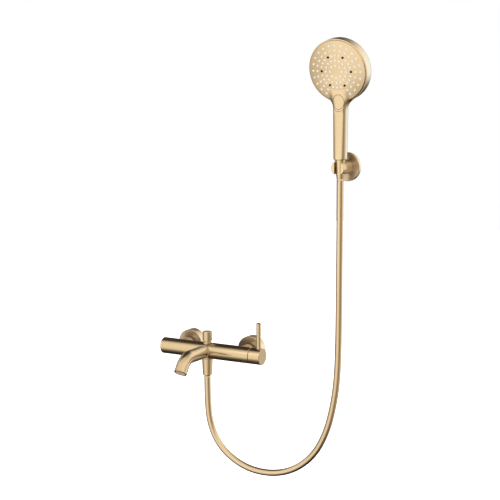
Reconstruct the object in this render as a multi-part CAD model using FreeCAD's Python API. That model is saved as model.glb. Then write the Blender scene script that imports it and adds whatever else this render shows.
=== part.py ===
import FreeCAD, Part
import math
import os

V = FreeCAD.Vector

# The frame: origin on the wall face, midway between the two supply threads.
# X runs to the right as seen from the room, Y into the wall, Z up. Millimetres.

# Supplies and eccentric unions
inlet_spacing = 150.0
union_offset = 8.0
wall_thread_radius = 10.4775
wall_thread_length = 20.0
wall_bore_radius = 7.5
union_plate = 3.0
union_thread_radius = 12.5
union_thread_length = 5.7
union_bore_radius = 8.0
key_web = 2.0
washer_thickness = 1.8
thread_gap = 0.05
union_nut_flats = 30.0
union_nut_length = 12.2

# Mixer bar
bar_standoff = 70.4
bar_radius = 17.5
bar_left = 109.5
bar_right = 108.2
edge_chamfer = 0.5
boss_radius = 13.0
boss_reach = 26.0
tail_radius = 10.2
collar_radius = 12.2
collar_thickness = 2.5
inlet_bore_radius = 4.8

# Wall flanges
flange_radius = 28.9
flange_depth = 20.5
flange_wall = 1.6
flange_edge = 1.0

# Passages in the bar
end_bore_radius = 13.5
end_bore_length = 47.5
plug_length = 8.5
passage_radius = 2.9
hot_back = 10.4
hot_up = 8.2

# Cartridge
cartridge_radius = 12.5
cartridge_length = 16.0
cartridge_neck_radius = 9.0
cartridge_neck_length = 3.0
cartridge_base = 2.5
disc_radius = 9.5
disc_thickness = 2.8
stem_radius = 4.0
stem_clearance = 0.07
bore_depth = 22.2
cartridge_seal_height = 1.0
nut_thread_radius = 13.6
nut_thread_length = 5.2
fit_gap = 0.1

# Lever
seam = 0.9
hub_length = 26.4
hub_recess = 4.5
stem_insert = 13.0
pin_radius = 5.0
pin_x = 126.1
pin_top = 72.5
pin_seat = 13.0
pin_crown = 1.6
stud_radius = 2.5
stud_length = 7.0
grub_radius = 2.5
grub_x = 117.0

# Diverter
chamber_radius = 6.2
chamber_floor = -12.5
chamber_height = 12.5
upper_radius = 6.8
seat_thickness = 2.0
seat_hole = 4.0
spindle_radius = 2.5
valve_thickness = 3.3
gland_thread_radius = 7.2
gland_thread_floor = 11.0
pad_radius = 9.2
pad_top = 18.6
gland_neck_radius = 7.4
gland_top = 21.0
knob_radius = 10.2
knob_bottom = 21.4
knob_top = 41.7
knob_depth = 14.0
oring_section = 1.7

# Hose outlet under the bar
thread_radius = 9.35
nipple_end = 26.0
nipple_bore = 6.5
hose_nut_top = 18.2
hose_nut_bottom = 53.0
hose_nut_top_radius = 11.6
hose_nut_bottom_radius = 10.0
ferrule_flange = 2.0
ferrule_bore = 4.2
hose_washer = 2.0

# Spout
spout_drop = 1.0
spout_boss_radius = 15.2
spout_boss_length = 2.0
spout_radius = 14.2
spout_tip_radius = 13.6
spout_wall = 2.0
spout_tail_radius = 9.9
spout_tail_length = 10.0
spout_straight = 51.6
spout_bend_radius = 34.0
spout_bend_angle = 55.0
spout_end_length = 14.7
aerator_step = 2.0
aerator_ring_radius = 14.0
aerator_length = 12.0
aerator_holes_radius = 10.2

# Holder
holder_x = 296.8
holder_rise = 403.2
socket_standoff = 35.5
holder_disc_radius = 29.6
holder_disc_depth = 7.9
holder_wall = 2.0
holder_plate_radius = 22.0
holder_plate_thickness = 3.0
holder_boss_radius = 8.0
holder_boss_length = 16.0
arm_radius = 14.3
arm_front = 48.3
slot_width = 15.6
seat_gap = 0.3
screw_spacing = 28.0
screw_radius = 2.25
screw_neck_radius = 1.9
screw_hole_radius = 2.5
screw_head_radius = 4.2
screw_length = 32.0

# Hose
hose_radius = 7.0

# Cone nut on the handset end of the hose
cone_below = 14.2
cone_bottom_radius = 8.4
cone_top_radius = 10.2
cone_head_radius = 11.4
cone_head_length = 12.2

# Handset
handle_gap = 2.5
handle_chamfer = 4.0
handle_foot_radius = 12.9
handle_bottom_radius = 14.1
handle_top_radius = 15.8
flat_bottom = 12.4
flat_top = 11.4
flat_corner = 4.0
recess_radius = 11.8
recess_depth = 14.0
handle_bore = 7.6
tube_radius = 6.3
tube_bore = 4.8
connector_reach = 12.0

# Rings of nozzles on the face, and the six larger jets on the third ring
first_ring = 12.6
ring_pitch = 10.05
ring_counts = [8, 16, 24, 24, 24]
jet_step = 2
jet_count = 6
blocked_half_angle = 20.0
blocked_from_ring = 3

# Spray head, in its own frame: x to the right, y up the face, z out of it
face_ahead = 23.2
face_tilt = 10.5
dome_radius = 312.0
mat_margin = 4.2
mat_thickness = 2.5
dish_margin = 2.0
dish_gap = 0.8
dish_wall = 2.0
button_clearing = 12.0
dish_clearing = 2.0
cover_lip = 2.6
cover_wall = 2.5
cover_gap = 0.3
seam_round = 4.0
rim_step = 2.4
rim_length = 17.0
shoulder = 8.0
back_rise = 1.5
back_wall = 3.3
neck_overlap = 1.0
ridge_above = 22.7
clear_ahead = 20.0

# Sections of the neck: depth behind the flat, inset from the rim, hollow corner radius
neck_sections = [
    (0.0, 11.8, 32.0),
    (2.0, 8.8, 30.0),
    (6.0, 4.3, 26.0),
    (12.4, 1.8, 24.0),
    (22.8, 4.8, 22.0),
]

# Mode button on the neck and its valve
button_rise = 117.3
button_half_height = 14.4
button_half_width = 11.9
button_edge = 0.4
button_proud = 0.6
button_thickness = 3.0
button_travel = 2.4
button_gap = 0.3
tongue_below = 3.9
tongue_depth = 4.5
valve_radius = 6.5
valve_bore = 6.8
valve_back = 2.9
valve_length = 26.0
spool_radius = 4.1
spool_length = 8.6
spool_gap = 0.08
spring_radius = 3.2
spring_wire = 0.35
spring_turns = 4

# Water parts behind the face
nozzle_radius = 1.9
nozzle_tip_radius = 1.5
nozzle_proud = 1.2
nozzle_gap = 0.2
jet_radius = 2.3
jet_bore = 1.1
jet_proud = 0.4
seal_thickness = 1.5
seal_width = 2.0
post_radius = 3.0

# Places that follow from the sizes above
bar_z = union_offset
union_reach = union_plate + union_thread_length
boss_end = union_reach + washer_thickness
collar_front = boss_end + collar_thickness
union_nut_front = collar_front + 3.2
union_nut_back = union_nut_front - union_nut_length
hub_start = bar_right + seam
hub_end = hub_start + hub_length
bore_start = bar_right - bore_depth
cartridge_start = bore_start + cartridge_seal_height
cartridge_end = cartridge_start + cartridge_length
holder_z = bar_z + holder_rise
socket_y = -socket_standoff
cone_bottom = holder_z - cone_below
handle_bottom = holder_z + arm_radius + handle_gap
cone_shoulder = handle_bottom + 1.2
cone_top = cone_shoulder + cone_head_length
button_z = handle_bottom + button_rise
cover_z = button_z - button_half_height - tongue_below
ridge_end = button_z + ridge_above
ring_radii = [first_ring + step * ring_pitch for step in range(len(ring_counts))]
jet_ring = ring_radii[jet_step]
mat_radius = ring_radii[-1] + mat_margin
dish_radius = mat_radius + dish_margin
cavity_radius = dish_radius + dish_gap
seam_radius = cavity_radius + cover_lip
head_radius = seam_radius + rim_step
ridge_y = socket_y - flat_top
valve_y = socket_y + valve_back
face_center = V(holder_x, socket_y - face_ahead, button_z + seam_radius - neck_overlap)
spout_z = bar_z - spout_drop
spout_start = bar_standoff + bar_radius + spout_boss_length
hose_washer_top = nipple_end
ferrule_top = nipple_end + hose_washer
ferrule_shoulder = ferrule_top + ferrule_flange

# The hose hangs in the upright plane through the outlet and the socket.
# Its route: x, and height above the origin, from the lower nut to the cone nut.
hose_route = [
    (0.0, bar_z - hose_nut_bottom),
    (0.0, -96.0),
    (6.0, -156.0),
    (33.0, -206.0),
    (84.0, -240.0),
    (142.0, -249.0),
    (198.0, -235.0),
    (244.0, -197.0),
    (271.5, -144.0),
    (286.4, -84.0),
    (294.2, -24.0),
    (296.4, 62.0),
    (296.6, 180.0),
    (holder_x, 290.0),
    (holder_x, cone_bottom),
]


def bar_point(x, forward, up):
    """A point near the bar: forward of its axis and above it."""
    return V(x, -bar_standoff - forward, bar_z + up)


def wall_point(x, out, z):
    """A point by its distance out from the wall."""
    return V(x, -out, z)


def rod(radius, start, end):
    """A round bar from one point to another."""
    span = end - start
    return Part.makeCylinder(radius, span.Length, start, span)


def pipe(outer, inner, start, end):
    """A straight tube."""
    return rod(outer, start, end).cut(rod(inner, start, end))


def taper(start_radius, end_radius, start, end):
    """A round bar whose radius changes evenly."""
    span = end - start
    return Part.makeCone(start_radius, end_radius, span.Length, start, span)


def turned(profile, at, direction):
    """A turned piece: (radius, height) points, or (mid, end) pairs for arcs."""
    here = V(profile[0][0], 0, profile[0][1])
    edges = []
    for step in profile[1:] + [profile[0]]:
        if isinstance(step[0], tuple):
            middle = V(step[0][0], 0, step[0][1])
            end = V(step[1][0], 0, step[1][1])
            edges.append(Part.Arc(here, middle, end).toShape())
        else:
            end = V(step[0], 0, step[1])
            edges.append(Part.LineSegment(here, end).toShape())
        here = end
    solid = Part.Face(Part.Wire(edges)).revolve(V(0, 0, 0), V(0, 0, 1), 360)
    solid.Placement = FreeCAD.Placement(at, FreeCAD.Rotation(V(0, 0, 1), direction))
    return solid


def crown(radius, rise, height):
    """The (mid, end) pair of an arc that crowns a turned piece up to its axis."""
    ball = (radius ** 2 + rise ** 2) / (2 * rise)
    half = math.asin(radius / ball) / 2
    return (ball * math.sin(half), height - ball * (1 - math.cos(half))), (0, height)


def chamfered_rod(radius, start, end, chamfer):
    """A round bar with both edges broken."""
    span = end - start
    length = span.Length
    profile = [
        (0, 0),
        (radius - chamfer, 0),
        (radius, chamfer),
        (radius, length - chamfer),
        (radius - chamfer, length),
        (0, length),
    ]
    return turned(profile, start, span)


def hexagon(flats, start, end):
    """A hexagonal bar by its width across flats, corners to the side."""
    span = end - start
    corner = flats / math.sqrt(3)
    points = []
    for step in range(7):
        angle = math.radians(60 * step)
        points.append(V(corner * math.cos(angle), corner * math.sin(angle), 0))
    prism = Part.Face(Part.makePolygon(points)).extrude(V(0, 0, span.Length))
    prism.Placement = FreeCAD.Placement(start, FreeCAD.Rotation(V(0, 0, 1), span))
    return prism


def on_head(shape):
    """Move a piece from the head's frame to its place."""
    turn = FreeCAD.Rotation(V(1, 0, 0), 90 + face_tilt)
    place = FreeCAD.Placement(face_center, turn)
    moved = shape.copy()
    moved.Placement = place.multiply(moved.Placement)
    return moved


def save(name, *solids):
    """Write one node, and say what it holds."""
    shape = solids[0] if len(solids) == 1 else Part.makeCompound(list(solids))
    shape.exportStep("parts/" + name + ".step")
    print(name, len(shape.Solids), "solids", round(shape.Volume), "mm3", shape.isValid())


# Mixer body

def mixer_body():
    """The bar with its inlet bosses, spout boss, outlet nipple and passages."""
    body = chamfered_rod(
        bar_radius, bar_point(-bar_left, 0, 0), bar_point(bar_right, 0, 0), edge_chamfer
    )
    cuts = []
    for side in (-1, 1):
        x = side * inlet_spacing / 2
        axis = bar_point(x, 0, 0)
        body = body.fuse(rod(boss_radius, axis, wall_point(x, boss_reach, bar_z)))
        body = body.fuse(rod(tail_radius, axis, wall_point(x, boss_end, bar_z)))
        collar = rod(
            collar_radius, wall_point(x, collar_front, bar_z), wall_point(x, boss_end, bar_z)
        )
        body = body.fuse(collar)
        cuts.append(rod(inlet_bore_radius, axis, wall_point(x, boss_end, bar_z)))

    spout_axis = bar_point(0, 0, -spout_drop)
    spout_face = wall_point(0, spout_start, spout_z)
    body = body.fuse(rod(spout_boss_radius, spout_axis, spout_face))
    body = body.fuse(rod(pad_radius, bar_point(0, 0, 0), bar_point(0, 0, pad_top)))
    body = body.fuse(rod(thread_radius, bar_point(0, 0, 0), bar_point(0, 0, -nipple_end)))

    tail_end = wall_point(0, spout_start - spout_tail_length - fit_gap, spout_z)
    cuts.append(rod(spout_tail_radius + fit_gap, tail_end, spout_face))
    screw_y = spout_start - spout_tail_length / 2
    cuts.append(rod(
        grub_radius + thread_gap,
        wall_point(0, screw_y, spout_z),
        wall_point(0, screw_y, spout_z - bar_radius),
    ))

    # Diverter chambers, one above the other, with the outlets they feed
    chamber_top = chamber_floor + chamber_height
    cuts.append(rod(chamber_radius, bar_point(0, 0, chamber_floor), bar_point(0, 0, chamber_top)))
    cuts.append(rod(
        upper_radius, bar_point(0, 0, chamber_top), bar_point(0, 0, gland_thread_floor)
    ))
    cuts.append(rod(
        gland_thread_radius, bar_point(0, 0, gland_thread_floor), bar_point(0, 0, pad_top)
    ))
    cuts.append(rod(seat_hole, bar_point(0, 0, chamber_floor - 2), bar_point(0, 0, chamber_floor)))
    cuts.append(rod(
        nipple_bore, bar_point(0, 0, -nipple_end), bar_point(0, 0, chamber_floor - 2)
    ))
    port_z = chamber_top + seat_thickness + passage_radius
    cuts.append(rod(
        passage_radius,
        bar_point(0, 0, port_z),
        wall_point(0, spout_start - spout_tail_length, bar_z + port_z),
    ))

    # Hot water runs from the left end chamber, behind the diverter, to the cartridge
    hot_start = end_bore_length - bar_left
    cuts.append(rod(end_bore_radius, bar_point(-bar_left, 0, 0), bar_point(hot_start, 0, 0)))
    hot_end = bore_start - 6
    cuts.append(rod(
        passage_radius,
        bar_point(hot_start - 1, -hot_back, hot_up),
        bar_point(hot_end, -hot_back, hot_up),
    ))
    cuts.append(rod(
        passage_radius,
        bar_point(hot_end - 1, -hot_back, hot_up),
        bar_point(bore_start + 1, -hot_back / 2, hot_up / 2),
    ))
    # Cold water has a short way, and the mixed water runs back to the diverter
    cuts.append(rod(
        passage_radius,
        bar_point(inlet_spacing / 2, -4, -2),
        bar_point(bore_start + 1, -4, -4),
    ))
    cuts.append(rod(passage_radius, bar_point(0, 5, -6), bar_point(bore_start + 1, 5, -6)))

    # Cartridge bore with the thread for its nut
    cuts.append(rod(
        cartridge_radius + fit_gap, bar_point(bore_start, 0, 0), bar_point(bar_right, 0, 0)
    ))
    cuts.append(rod(
        nut_thread_radius,
        bar_point(bar_right - nut_thread_length, 0, 0),
        bar_point(bar_right, 0, 0),
    ))
    return body.cut(cuts)


def end_plug():
    """The screwed plug that closes the left end, with a hexagon socket."""
    start = bar_point(-bar_left, 0, 0)
    end = bar_point(-bar_left + plug_length, 0, 0)
    plug = rod(end_bore_radius - thread_gap, start, end)
    plug = plug.cut(hexagon(8.0, start, bar_point(-bar_left + 4, 0, 0)))
    groove = pipe(
        end_bore_radius, end_bore_radius - oring_section,
        bar_point(-bar_left + 5, 0, 0), bar_point(-bar_left + 5 + oring_section, 0, 0),
    )
    return plug.cut(groove)


def end_plug_oring():
    """The seal in the plug's groove."""
    return pipe(
        end_bore_radius - thread_gap, end_bore_radius - oring_section,
        bar_point(-bar_left + 5, 0, 0), bar_point(-bar_left + 5 + oring_section, 0, 0),
    )


def eccentric_union(x):
    """A union whose two threads are offset, so that it levels the mixer."""
    wall_axis = wall_point(x, 0, 0)
    plate = rod(wall_thread_radius + 1.5, wall_axis, wall_point(x, union_plate, 0))
    plate = plate.fuse(rod(
        union_thread_radius + 1, wall_point(x, 0, bar_z), wall_point(x, union_plate, bar_z)
    ))
    union = plate.fuse(rod(wall_thread_radius, wall_point(x, -wall_thread_length, 0), wall_axis))
    union = union.fuse(rod(
        union_thread_radius, wall_point(x, union_plate, bar_z), wall_point(x, union_reach, bar_z)
    ))
    wall_bore = rod(wall_bore_radius, wall_point(x, -wall_thread_length, 0), wall_point(x, 2.2, 0))
    # The fitting key grips a flat web that stands across the wall bore
    web = Part.makeBox(
        2 * wall_bore_radius, wall_thread_length, key_web,
        wall_point(x - wall_bore_radius, 0, -key_web / 2),
    )
    room_bore = rod(union_bore_radius, wall_point(x, 0.8, bar_z), wall_point(x, union_reach, bar_z))
    return union.cut([wall_bore.cut(web), room_bore])


def union_nut(x):
    """The loose nut that draws the mixer's collar onto the union."""
    back = wall_point(x, union_nut_back, bar_z)
    front = wall_point(x, union_nut_front, bar_z)
    nut = hexagon(union_nut_flats, back, front)
    nut = nut.cut(rod(tail_radius + fit_gap, back, front))
    return nut.cut(rod(union_thread_radius + thread_gap, back, wall_point(x, collar_front, bar_z)))


def filter_washer(x):
    """The flat washer with its strainer disc between union and collar."""
    back = wall_point(x, union_reach, bar_z)
    front = wall_point(x, boss_end, bar_z)
    ring = rod(collar_radius - 0.2, back, front)
    holes = []
    for ring_radius, count in ((0, 1), (2.6, 6), (5.2, 12)):
        for step in range(count):
            angle = 2 * math.pi * step / count
            dx = ring_radius * math.cos(angle)
            dz = ring_radius * math.sin(angle)
            offset = V(dx, 0, dz)
            holes.append(rod(0.8, back + offset, front + offset))
    return ring.cut(holes)


def wall_flange(x):
    """The cup that slides along the boss and hides the nut and the wall hole."""
    inner = flange_radius - flange_wall
    face = flange_depth - flange_wall
    profile = [
        (inner, 0),
        (flange_radius, 0),
        (flange_radius, flange_depth - flange_edge),
        (flange_radius - flange_edge, flange_depth),
        (tail_radius + seat_gap, flange_depth),
        (tail_radius + seat_gap, face),
        (inner, face),
    ]
    return turned(profile, wall_point(x, 0, bar_z), V(0, -1, 0))


def flange_seal(x):
    """The rubber ring that grips the boss behind the flange."""
    face = flange_depth - flange_wall
    return pipe(
        tail_radius + oring_section, tail_radius + thread_gap,
        wall_point(x, face - oring_section, bar_z), wall_point(x, face, bar_z),
    )


# Cartridge and lever

def port_cuts(start, end):
    """Three water ways through the cartridge's base."""
    cuts = []
    for back, up in ((-5, 4), (-4, -4), (5, -4)):
        cuts.append(rod(1.8, bar_point(start, back, up), bar_point(end, back, up)))
    return cuts


def cartridge_seal():
    """The rubber pad under the cartridge."""
    pad = rod(cartridge_radius, bar_point(bore_start, 0, 0), bar_point(cartridge_start, 0, 0))
    return pad.cut(port_cuts(bore_start, cartridge_start))


def cartridge_bottom():
    """The cartridge's base plate."""
    end = cartridge_start + cartridge_base
    plate = rod(cartridge_radius, bar_point(cartridge_start, 0, 0), bar_point(end, 0, 0))
    return plate.cut(port_cuts(cartridge_start, end))


def cartridge_body():
    """The cartridge's casing, open at the base and with a neck for the stem."""
    start = cartridge_start + cartridge_base
    casing = rod(cartridge_radius, bar_point(start, 0, 0), bar_point(cartridge_end, 0, 0))
    neck_end = cartridge_end + cartridge_neck_length
    casing = casing.fuse(rod(
        cartridge_neck_radius, bar_point(cartridge_end, 0, 0), bar_point(neck_end, 0, 0)
    ))
    chamber = rod(
        disc_radius + seat_gap, bar_point(start, 0, 0), bar_point(cartridge_end - 4.5, 0, 0)
    )
    bore = rod(stem_radius + stem_clearance, bar_point(start, 0, 0), bar_point(neck_end, 0, 0))
    return casing.cut([chamber, bore])


def fixed_disc():
    """The ceramic disc that stays still, with its ports."""
    start = cartridge_start + cartridge_base
    end = start + disc_thickness
    disc = rod(disc_radius, bar_point(start, 0, 0), bar_point(end, 0, 0))
    return disc.cut(port_cuts(start, end))


def moving_disc():
    """The ceramic disc that the stem turns, with its mixing pocket."""
    start = cartridge_start + cartridge_base + disc_thickness + fit_gap
    end = start + disc_thickness
    disc = rod(disc_radius, bar_point(start, 0, 0), bar_point(end, 0, 0))
    pocket = rod(5.5, bar_point(start, 2, -2), bar_point(start + 1.4, 2, -2))
    return disc.cut(pocket)


def stem():
    """The stem and its driver, from the moving disc into the hub."""
    start = cartridge_start + cartridge_base + 2 * disc_thickness + 2 * fit_gap
    driver = rod(disc_radius - 1, bar_point(start, 0, 0), bar_point(start + 2.5, 0, 0))
    end = hub_start + stem_insert - seat_gap
    return driver.fuse(rod(stem_radius, bar_point(start, 0, 0), bar_point(end, 0, 0)))


def cartridge_nut():
    """The threaded ring that holds the cartridge down."""
    start = bar_point(cartridge_end, 0, 0)
    end = bar_point(bar_right - 0.2, 0, 0)
    ring = pipe(nut_thread_radius - thread_gap, cartridge_neck_radius + fit_gap, start, end)
    slots = []
    for step in range(4):
        angle = math.pi / 4 + step * math.pi / 2
        dy = 12.2 * math.cos(angle)
        dz = 12.2 * math.sin(angle)
        slots.append(rod(
            1.2, bar_point(bar_right - 2.5, dy, dz), bar_point(bar_right, dy, dz)
        ))
    return ring.cut(slots)


def lever_hub():
    """The turning end of the bar."""
    start = bar_point(hub_start, 0, 0)
    hub = chamfered_rod(bar_radius, start, bar_point(hub_end, 0, 0), edge_chamfer)
    recess_end = bar_point(hub_start + hub_recess, 0, 0)
    cuts = [
        pipe(bar_radius - 3, stem_radius + 3, start, recess_end),
        rod(stem_radius + thread_gap, start, bar_point(hub_start + stem_insert, 0, 0)),
        rod(grub_radius + thread_gap, bar_point(grub_x, 0, 0), bar_point(grub_x, 0, -bar_radius)),
        rod(pin_radius + thread_gap, bar_point(pin_x, 0, pin_seat), bar_point(pin_x, 0, bar_radius)),
        rod(
            stud_radius + thread_gap,
            bar_point(pin_x, 0, pin_seat - stud_length - 0.5),
            bar_point(pin_x, 0, pin_seat),
        ),
    ]
    return hub.cut(cuts)


def lever_pin():
    """The upright pin of the lever, with a rounded top and a threaded foot."""
    length = pin_top - pin_seat
    profile = [
        (0, 0),
        (pin_radius, 0),
        (pin_radius, length - pin_crown),
        crown(pin_radius, pin_crown, length),
    ]
    pin = turned(profile, bar_point(pin_x, 0, pin_seat), V(0, 0, 1))
    foot = rod(
        stud_radius, bar_point(pin_x, 0, pin_seat - stud_length), bar_point(pin_x, 0, pin_seat)
    )
    return pin.fuse(foot)


def grub_screw(low, high, radius, socket):
    """A headless screw with a hexagon socket at its low end."""
    screw = rod(radius, low, high)
    span = high - low
    depth = low + span * 0.45
    return screw.cut(hexagon(socket, low, depth))


# Diverter

def diverter_seat():
    """The ring between the two chambers, which the valve meets when it is up."""
    low = chamber_floor + chamber_height
    return pipe(
        upper_radius - thread_gap, seat_hole,
        bar_point(0, 0, low), bar_point(0, 0, low + seat_thickness),
    )


def gland_oring():
    """The seal round the spindle."""
    low = gland_thread_floor + 2
    return pipe(
        spindle_radius + oring_section, spindle_radius + stem_clearance,
        bar_point(0, 0, low), bar_point(0, 0, low + oring_section),
    )


def diverter_gland():
    """The screwed guide of the spindle, with its neck above the bar."""
    low = bar_point(0, 0, gland_thread_floor)
    seat = bar_point(0, 0, pad_top)
    top = bar_point(0, 0, gland_top)
    gland = rod(gland_thread_radius - thread_gap, low, seat)
    gland = gland.fuse(rod(gland_neck_radius, seat, top))
    groove_low = gland_thread_floor + 2
    cuts = [
        rod(spindle_radius + stem_clearance, low, top),
        rod(
            spindle_radius + oring_section,
            bar_point(0, 0, groove_low), bar_point(0, 0, groove_low + oring_section),
        ),
    ]
    return gland.cut(cuts)


def diverter_spindle():
    """The spindle that ties the knob to the valve."""
    low = chamber_floor + 0.6
    return rod(
        spindle_radius, bar_point(0, 0, low), bar_point(0, 0, knob_bottom + knob_depth)
    )


def diverter_valve():
    """The rubber valve that closes the shower's or the spout's seat."""
    low = chamber_floor + 0.2
    valve = rod(
        chamber_radius - seat_gap, bar_point(0, 0, low), bar_point(0, 0, low + valve_thickness)
    )
    return valve.cut(rod(
        spindle_radius, bar_point(0, 0, chamber_floor + 0.6), bar_point(0, 0, 0)
    ))


def diverter_knob():
    """The pull knob, with a softly rounded top edge."""
    height = knob_top - knob_bottom
    round_edge = 1.2
    lean = round_edge * (1 - math.sqrt(0.5))
    profile = [
        (0, 0),
        (knob_radius - edge_chamfer, 0),
        (knob_radius, edge_chamfer),
        (knob_radius, height - round_edge),
        ((knob_radius - lean, height - lean), (knob_radius - round_edge, height)),
        (0, height),
    ]
    knob = turned(profile, bar_point(0, 0, knob_bottom), V(0, 0, 1))
    return knob.cut(rod(
        spindle_radius, bar_point(0, 0, knob_bottom), bar_point(0, 0, knob_bottom + knob_depth)
    ))


# Hose outlet

def check_valve():
    """The non-return valve in the outlet nipple: a ring, a cross and a poppet."""
    top = bar_point(0, 0, chamber_floor - 2.2)
    low = bar_point(0, 0, -nipple_end + 0.5)
    valve = pipe(nipple_bore - thread_gap, nipple_bore - 1.4, low, top)
    middle = bar_point(0, 0, (chamber_floor - nipple_end) / 2)
    for direction in (V(1, 0, 0), V(0, 1, 0)):
        reach = direction * (nipple_bore - 1)
        valve = valve.fuse(rod(0.7, middle - reach, middle + reach))
    return valve.fuse(rod(3.4, middle - V(0, 0, 0.8), middle + V(0, 0, 2.4)))


def lower_washer():
    """The rubber washer between nipple and hose."""
    return pipe(
        thread_radius - 0.4, ferrule_bore + 1.2,
        bar_point(0, 0, -ferrule_top), bar_point(0, 0, -hose_washer_top),
    )


def lower_ferrule():
    """The crimped end of the hose inside the lower nut."""
    shoulder_point = bar_point(0, 0, -ferrule_shoulder)
    flange = rod(thread_radius - 0.3, shoulder_point, bar_point(0, 0, -ferrule_top))
    tail = rod(hose_radius, bar_point(0, 0, -hose_nut_bottom), shoulder_point)
    bore = rod(ferrule_bore, bar_point(0, 0, -hose_nut_bottom), bar_point(0, 0, -ferrule_top))
    return flange.fuse(tail).cut(bore)


def lower_nut():
    """The tapered nut that screws the hose to the mixer."""
    low = bar_point(0, 0, -hose_nut_bottom)
    nut = taper(hose_nut_bottom_radius, hose_nut_top_radius, low, bar_point(0, 0, -hose_nut_top))
    shoulder_point = bar_point(0, 0, -ferrule_shoulder)
    cuts = [
        rod(thread_radius + thread_gap, shoulder_point, bar_point(0, 0, -hose_nut_top)),
        rod(hose_radius + fit_gap, low, shoulder_point),
    ]
    nut = nut.cut(cuts)
    # The top follows the round underside of the bar
    bar_room = rod(bar_radius + seat_gap, bar_point(-30, 0, 0), bar_point(30, 0, 0))
    return nut.cut(bar_room)


# Spout

def spout_tip():
    """The middle of the spout's mouth, and the way it points."""
    turn = math.radians(spout_bend_angle)
    direction = V(0, -math.cos(turn), -math.sin(turn))
    bend_end = wall_point(
        0,
        spout_start + spout_straight + spout_bend_radius * math.sin(turn),
        spout_z - spout_bend_radius * (1 - math.cos(turn)),
    )
    return bend_end + direction * spout_end_length, direction


def spout_path():
    """The spout's centre line: straight out, a bend, and a short fall."""
    straight_end = spout_start + spout_straight
    half = math.radians(spout_bend_angle) / 2
    tip, direction = spout_tip()
    bend_start = wall_point(0, straight_end, spout_z)
    bend_mid = wall_point(
        0,
        straight_end + spout_bend_radius * math.sin(half),
        spout_z - spout_bend_radius * (1 - math.cos(half)),
    )
    bend_end = tip - direction * spout_end_length
    edges = [
        Part.LineSegment(wall_point(0, spout_start, spout_z), bend_start).toShape(),
        Part.Arc(bend_start, bend_mid, bend_end).toShape(),
        Part.LineSegment(bend_end, tip).toShape(),
    ]
    return Part.Wire(edges)


def swept(path, radius, at, direction):
    """A round bar along a path."""
    ring = Part.Wire([Part.makeCircle(radius, at, direction)])
    return path.makePipeShell([ring], True, False)


def swept_taper(path, radius, end_radius):
    """A round bar along the spout's path that narrows towards the tip."""
    start = wall_point(0, spout_start, spout_z)
    tip, direction = spout_tip()
    first = Part.Wire([Part.makeCircle(radius, start, V(0, -1, 0))])
    last = Part.Wire([Part.makeCircle(end_radius, tip, direction)])
    return path.makePipeShell([first, last], True, False)


def spout_tube():
    """The curved spout tube with the tail that enters the body."""
    outward = V(0, -1, 0)
    path = spout_path()
    tip, direction = spout_tip()
    start = wall_point(0, spout_start, spout_z)
    tail_start = wall_point(0, spout_start - spout_tail_length, spout_z)
    outer = swept_taper(path, spout_radius, spout_tip_radius)
    inner = swept_taper(path, spout_radius - spout_wall, spout_tip_radius - spout_wall)
    thread = rod(spout_tip_radius - 1, tip - direction * aerator_length, tip)
    tube = outer.cut(inner).cut(thread)
    root = pipe(spout_radius - 1, spout_tail_radius - spout_wall, start, start + outward * 2)
    tail = pipe(spout_tail_radius, spout_tail_radius - spout_wall, tail_start, start)
    groove = pipe(
        spout_tail_radius, spout_tail_radius - 1.2,
        tail_start + outward * 1.5, tail_start + outward * 3.2,
    )
    return tube.fuse(root).fuse(tail).cut(groove)


def spout_oring():
    """The seal on the spout's tail."""
    tail_start = wall_point(0, spout_start - spout_tail_length, spout_z)
    return pipe(
        spout_tail_radius + thread_gap, spout_tail_radius - 1.2,
        tail_start + V(0, -1.5, 0), tail_start + V(0, -3.2, 0),
    )


def aerator_housing():
    """The screwed ring at the spout's mouth."""
    tip, direction = spout_tip()
    sleeve_start = tip - direction * (aerator_length - 0.5)
    sleeve = rod(spout_tip_radius - 1 - thread_gap, sleeve_start, tip)
    rim = chamfered_rod(aerator_ring_radius, tip, tip + direction * aerator_step, 0.4)
    bore = rod(aerator_holes_radius + 0.4, sleeve_start, tip + direction * aerator_step)
    return sleeve.fuse(rim).cut(bore)


def aerator_insert():
    """The straightener: a honeycomb of holes set back in the ring."""
    tip, direction = spout_tip()
    low = tip - direction * 6
    high = tip + direction * (aerator_step - 0.6)
    core = rod(aerator_holes_radius + 0.35, low, high)
    across = V(1, 0, 0)
    along = direction.cross(across)
    pitch = 2.7
    holes = []
    for row in range(-3, 4):
        for column in range(-3, 4):
            dx = (column + (0.5 if row % 2 else 0)) * pitch
            dy = row * pitch * math.sin(math.radians(60))
            if math.hypot(dx, dy) < aerator_holes_radius - 1.2:
                offset = across * dx + along * dy
                holes.append(rod(1.05, low + offset, high + offset))
    return core.cut(holes)


def aerator_washer():
    """The rubber ring between the aerator and the tube."""
    tip, direction = spout_tip()
    high = tip - direction * (aerator_length - 0.5)
    low = tip - direction * aerator_length
    return pipe(spout_tip_radius - 1.1, aerator_holes_radius, low, high)


# Holder

def holder_screw_points():
    """The two screw places, one above the other."""
    half = screw_spacing / 2
    return [V(holder_x, 0, holder_z + half), V(holder_x, 0, holder_z - half)]


def holder_plate():
    """The plate screwed to the wall, with the boss that carries the arm."""
    back = wall_point(holder_x, 0, holder_z)
    front = wall_point(holder_x, holder_plate_thickness, holder_z)
    plate = rod(holder_plate_radius, back, front)
    plate = plate.fuse(rod(
        holder_boss_radius, front, wall_point(holder_x, holder_boss_length, holder_z)
    ))
    holes = []
    for point in holder_screw_points():
        holes.append(rod(screw_hole_radius, point, point + V(0, -holder_plate_thickness, 0)))
    return plate.cut(holes)


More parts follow.
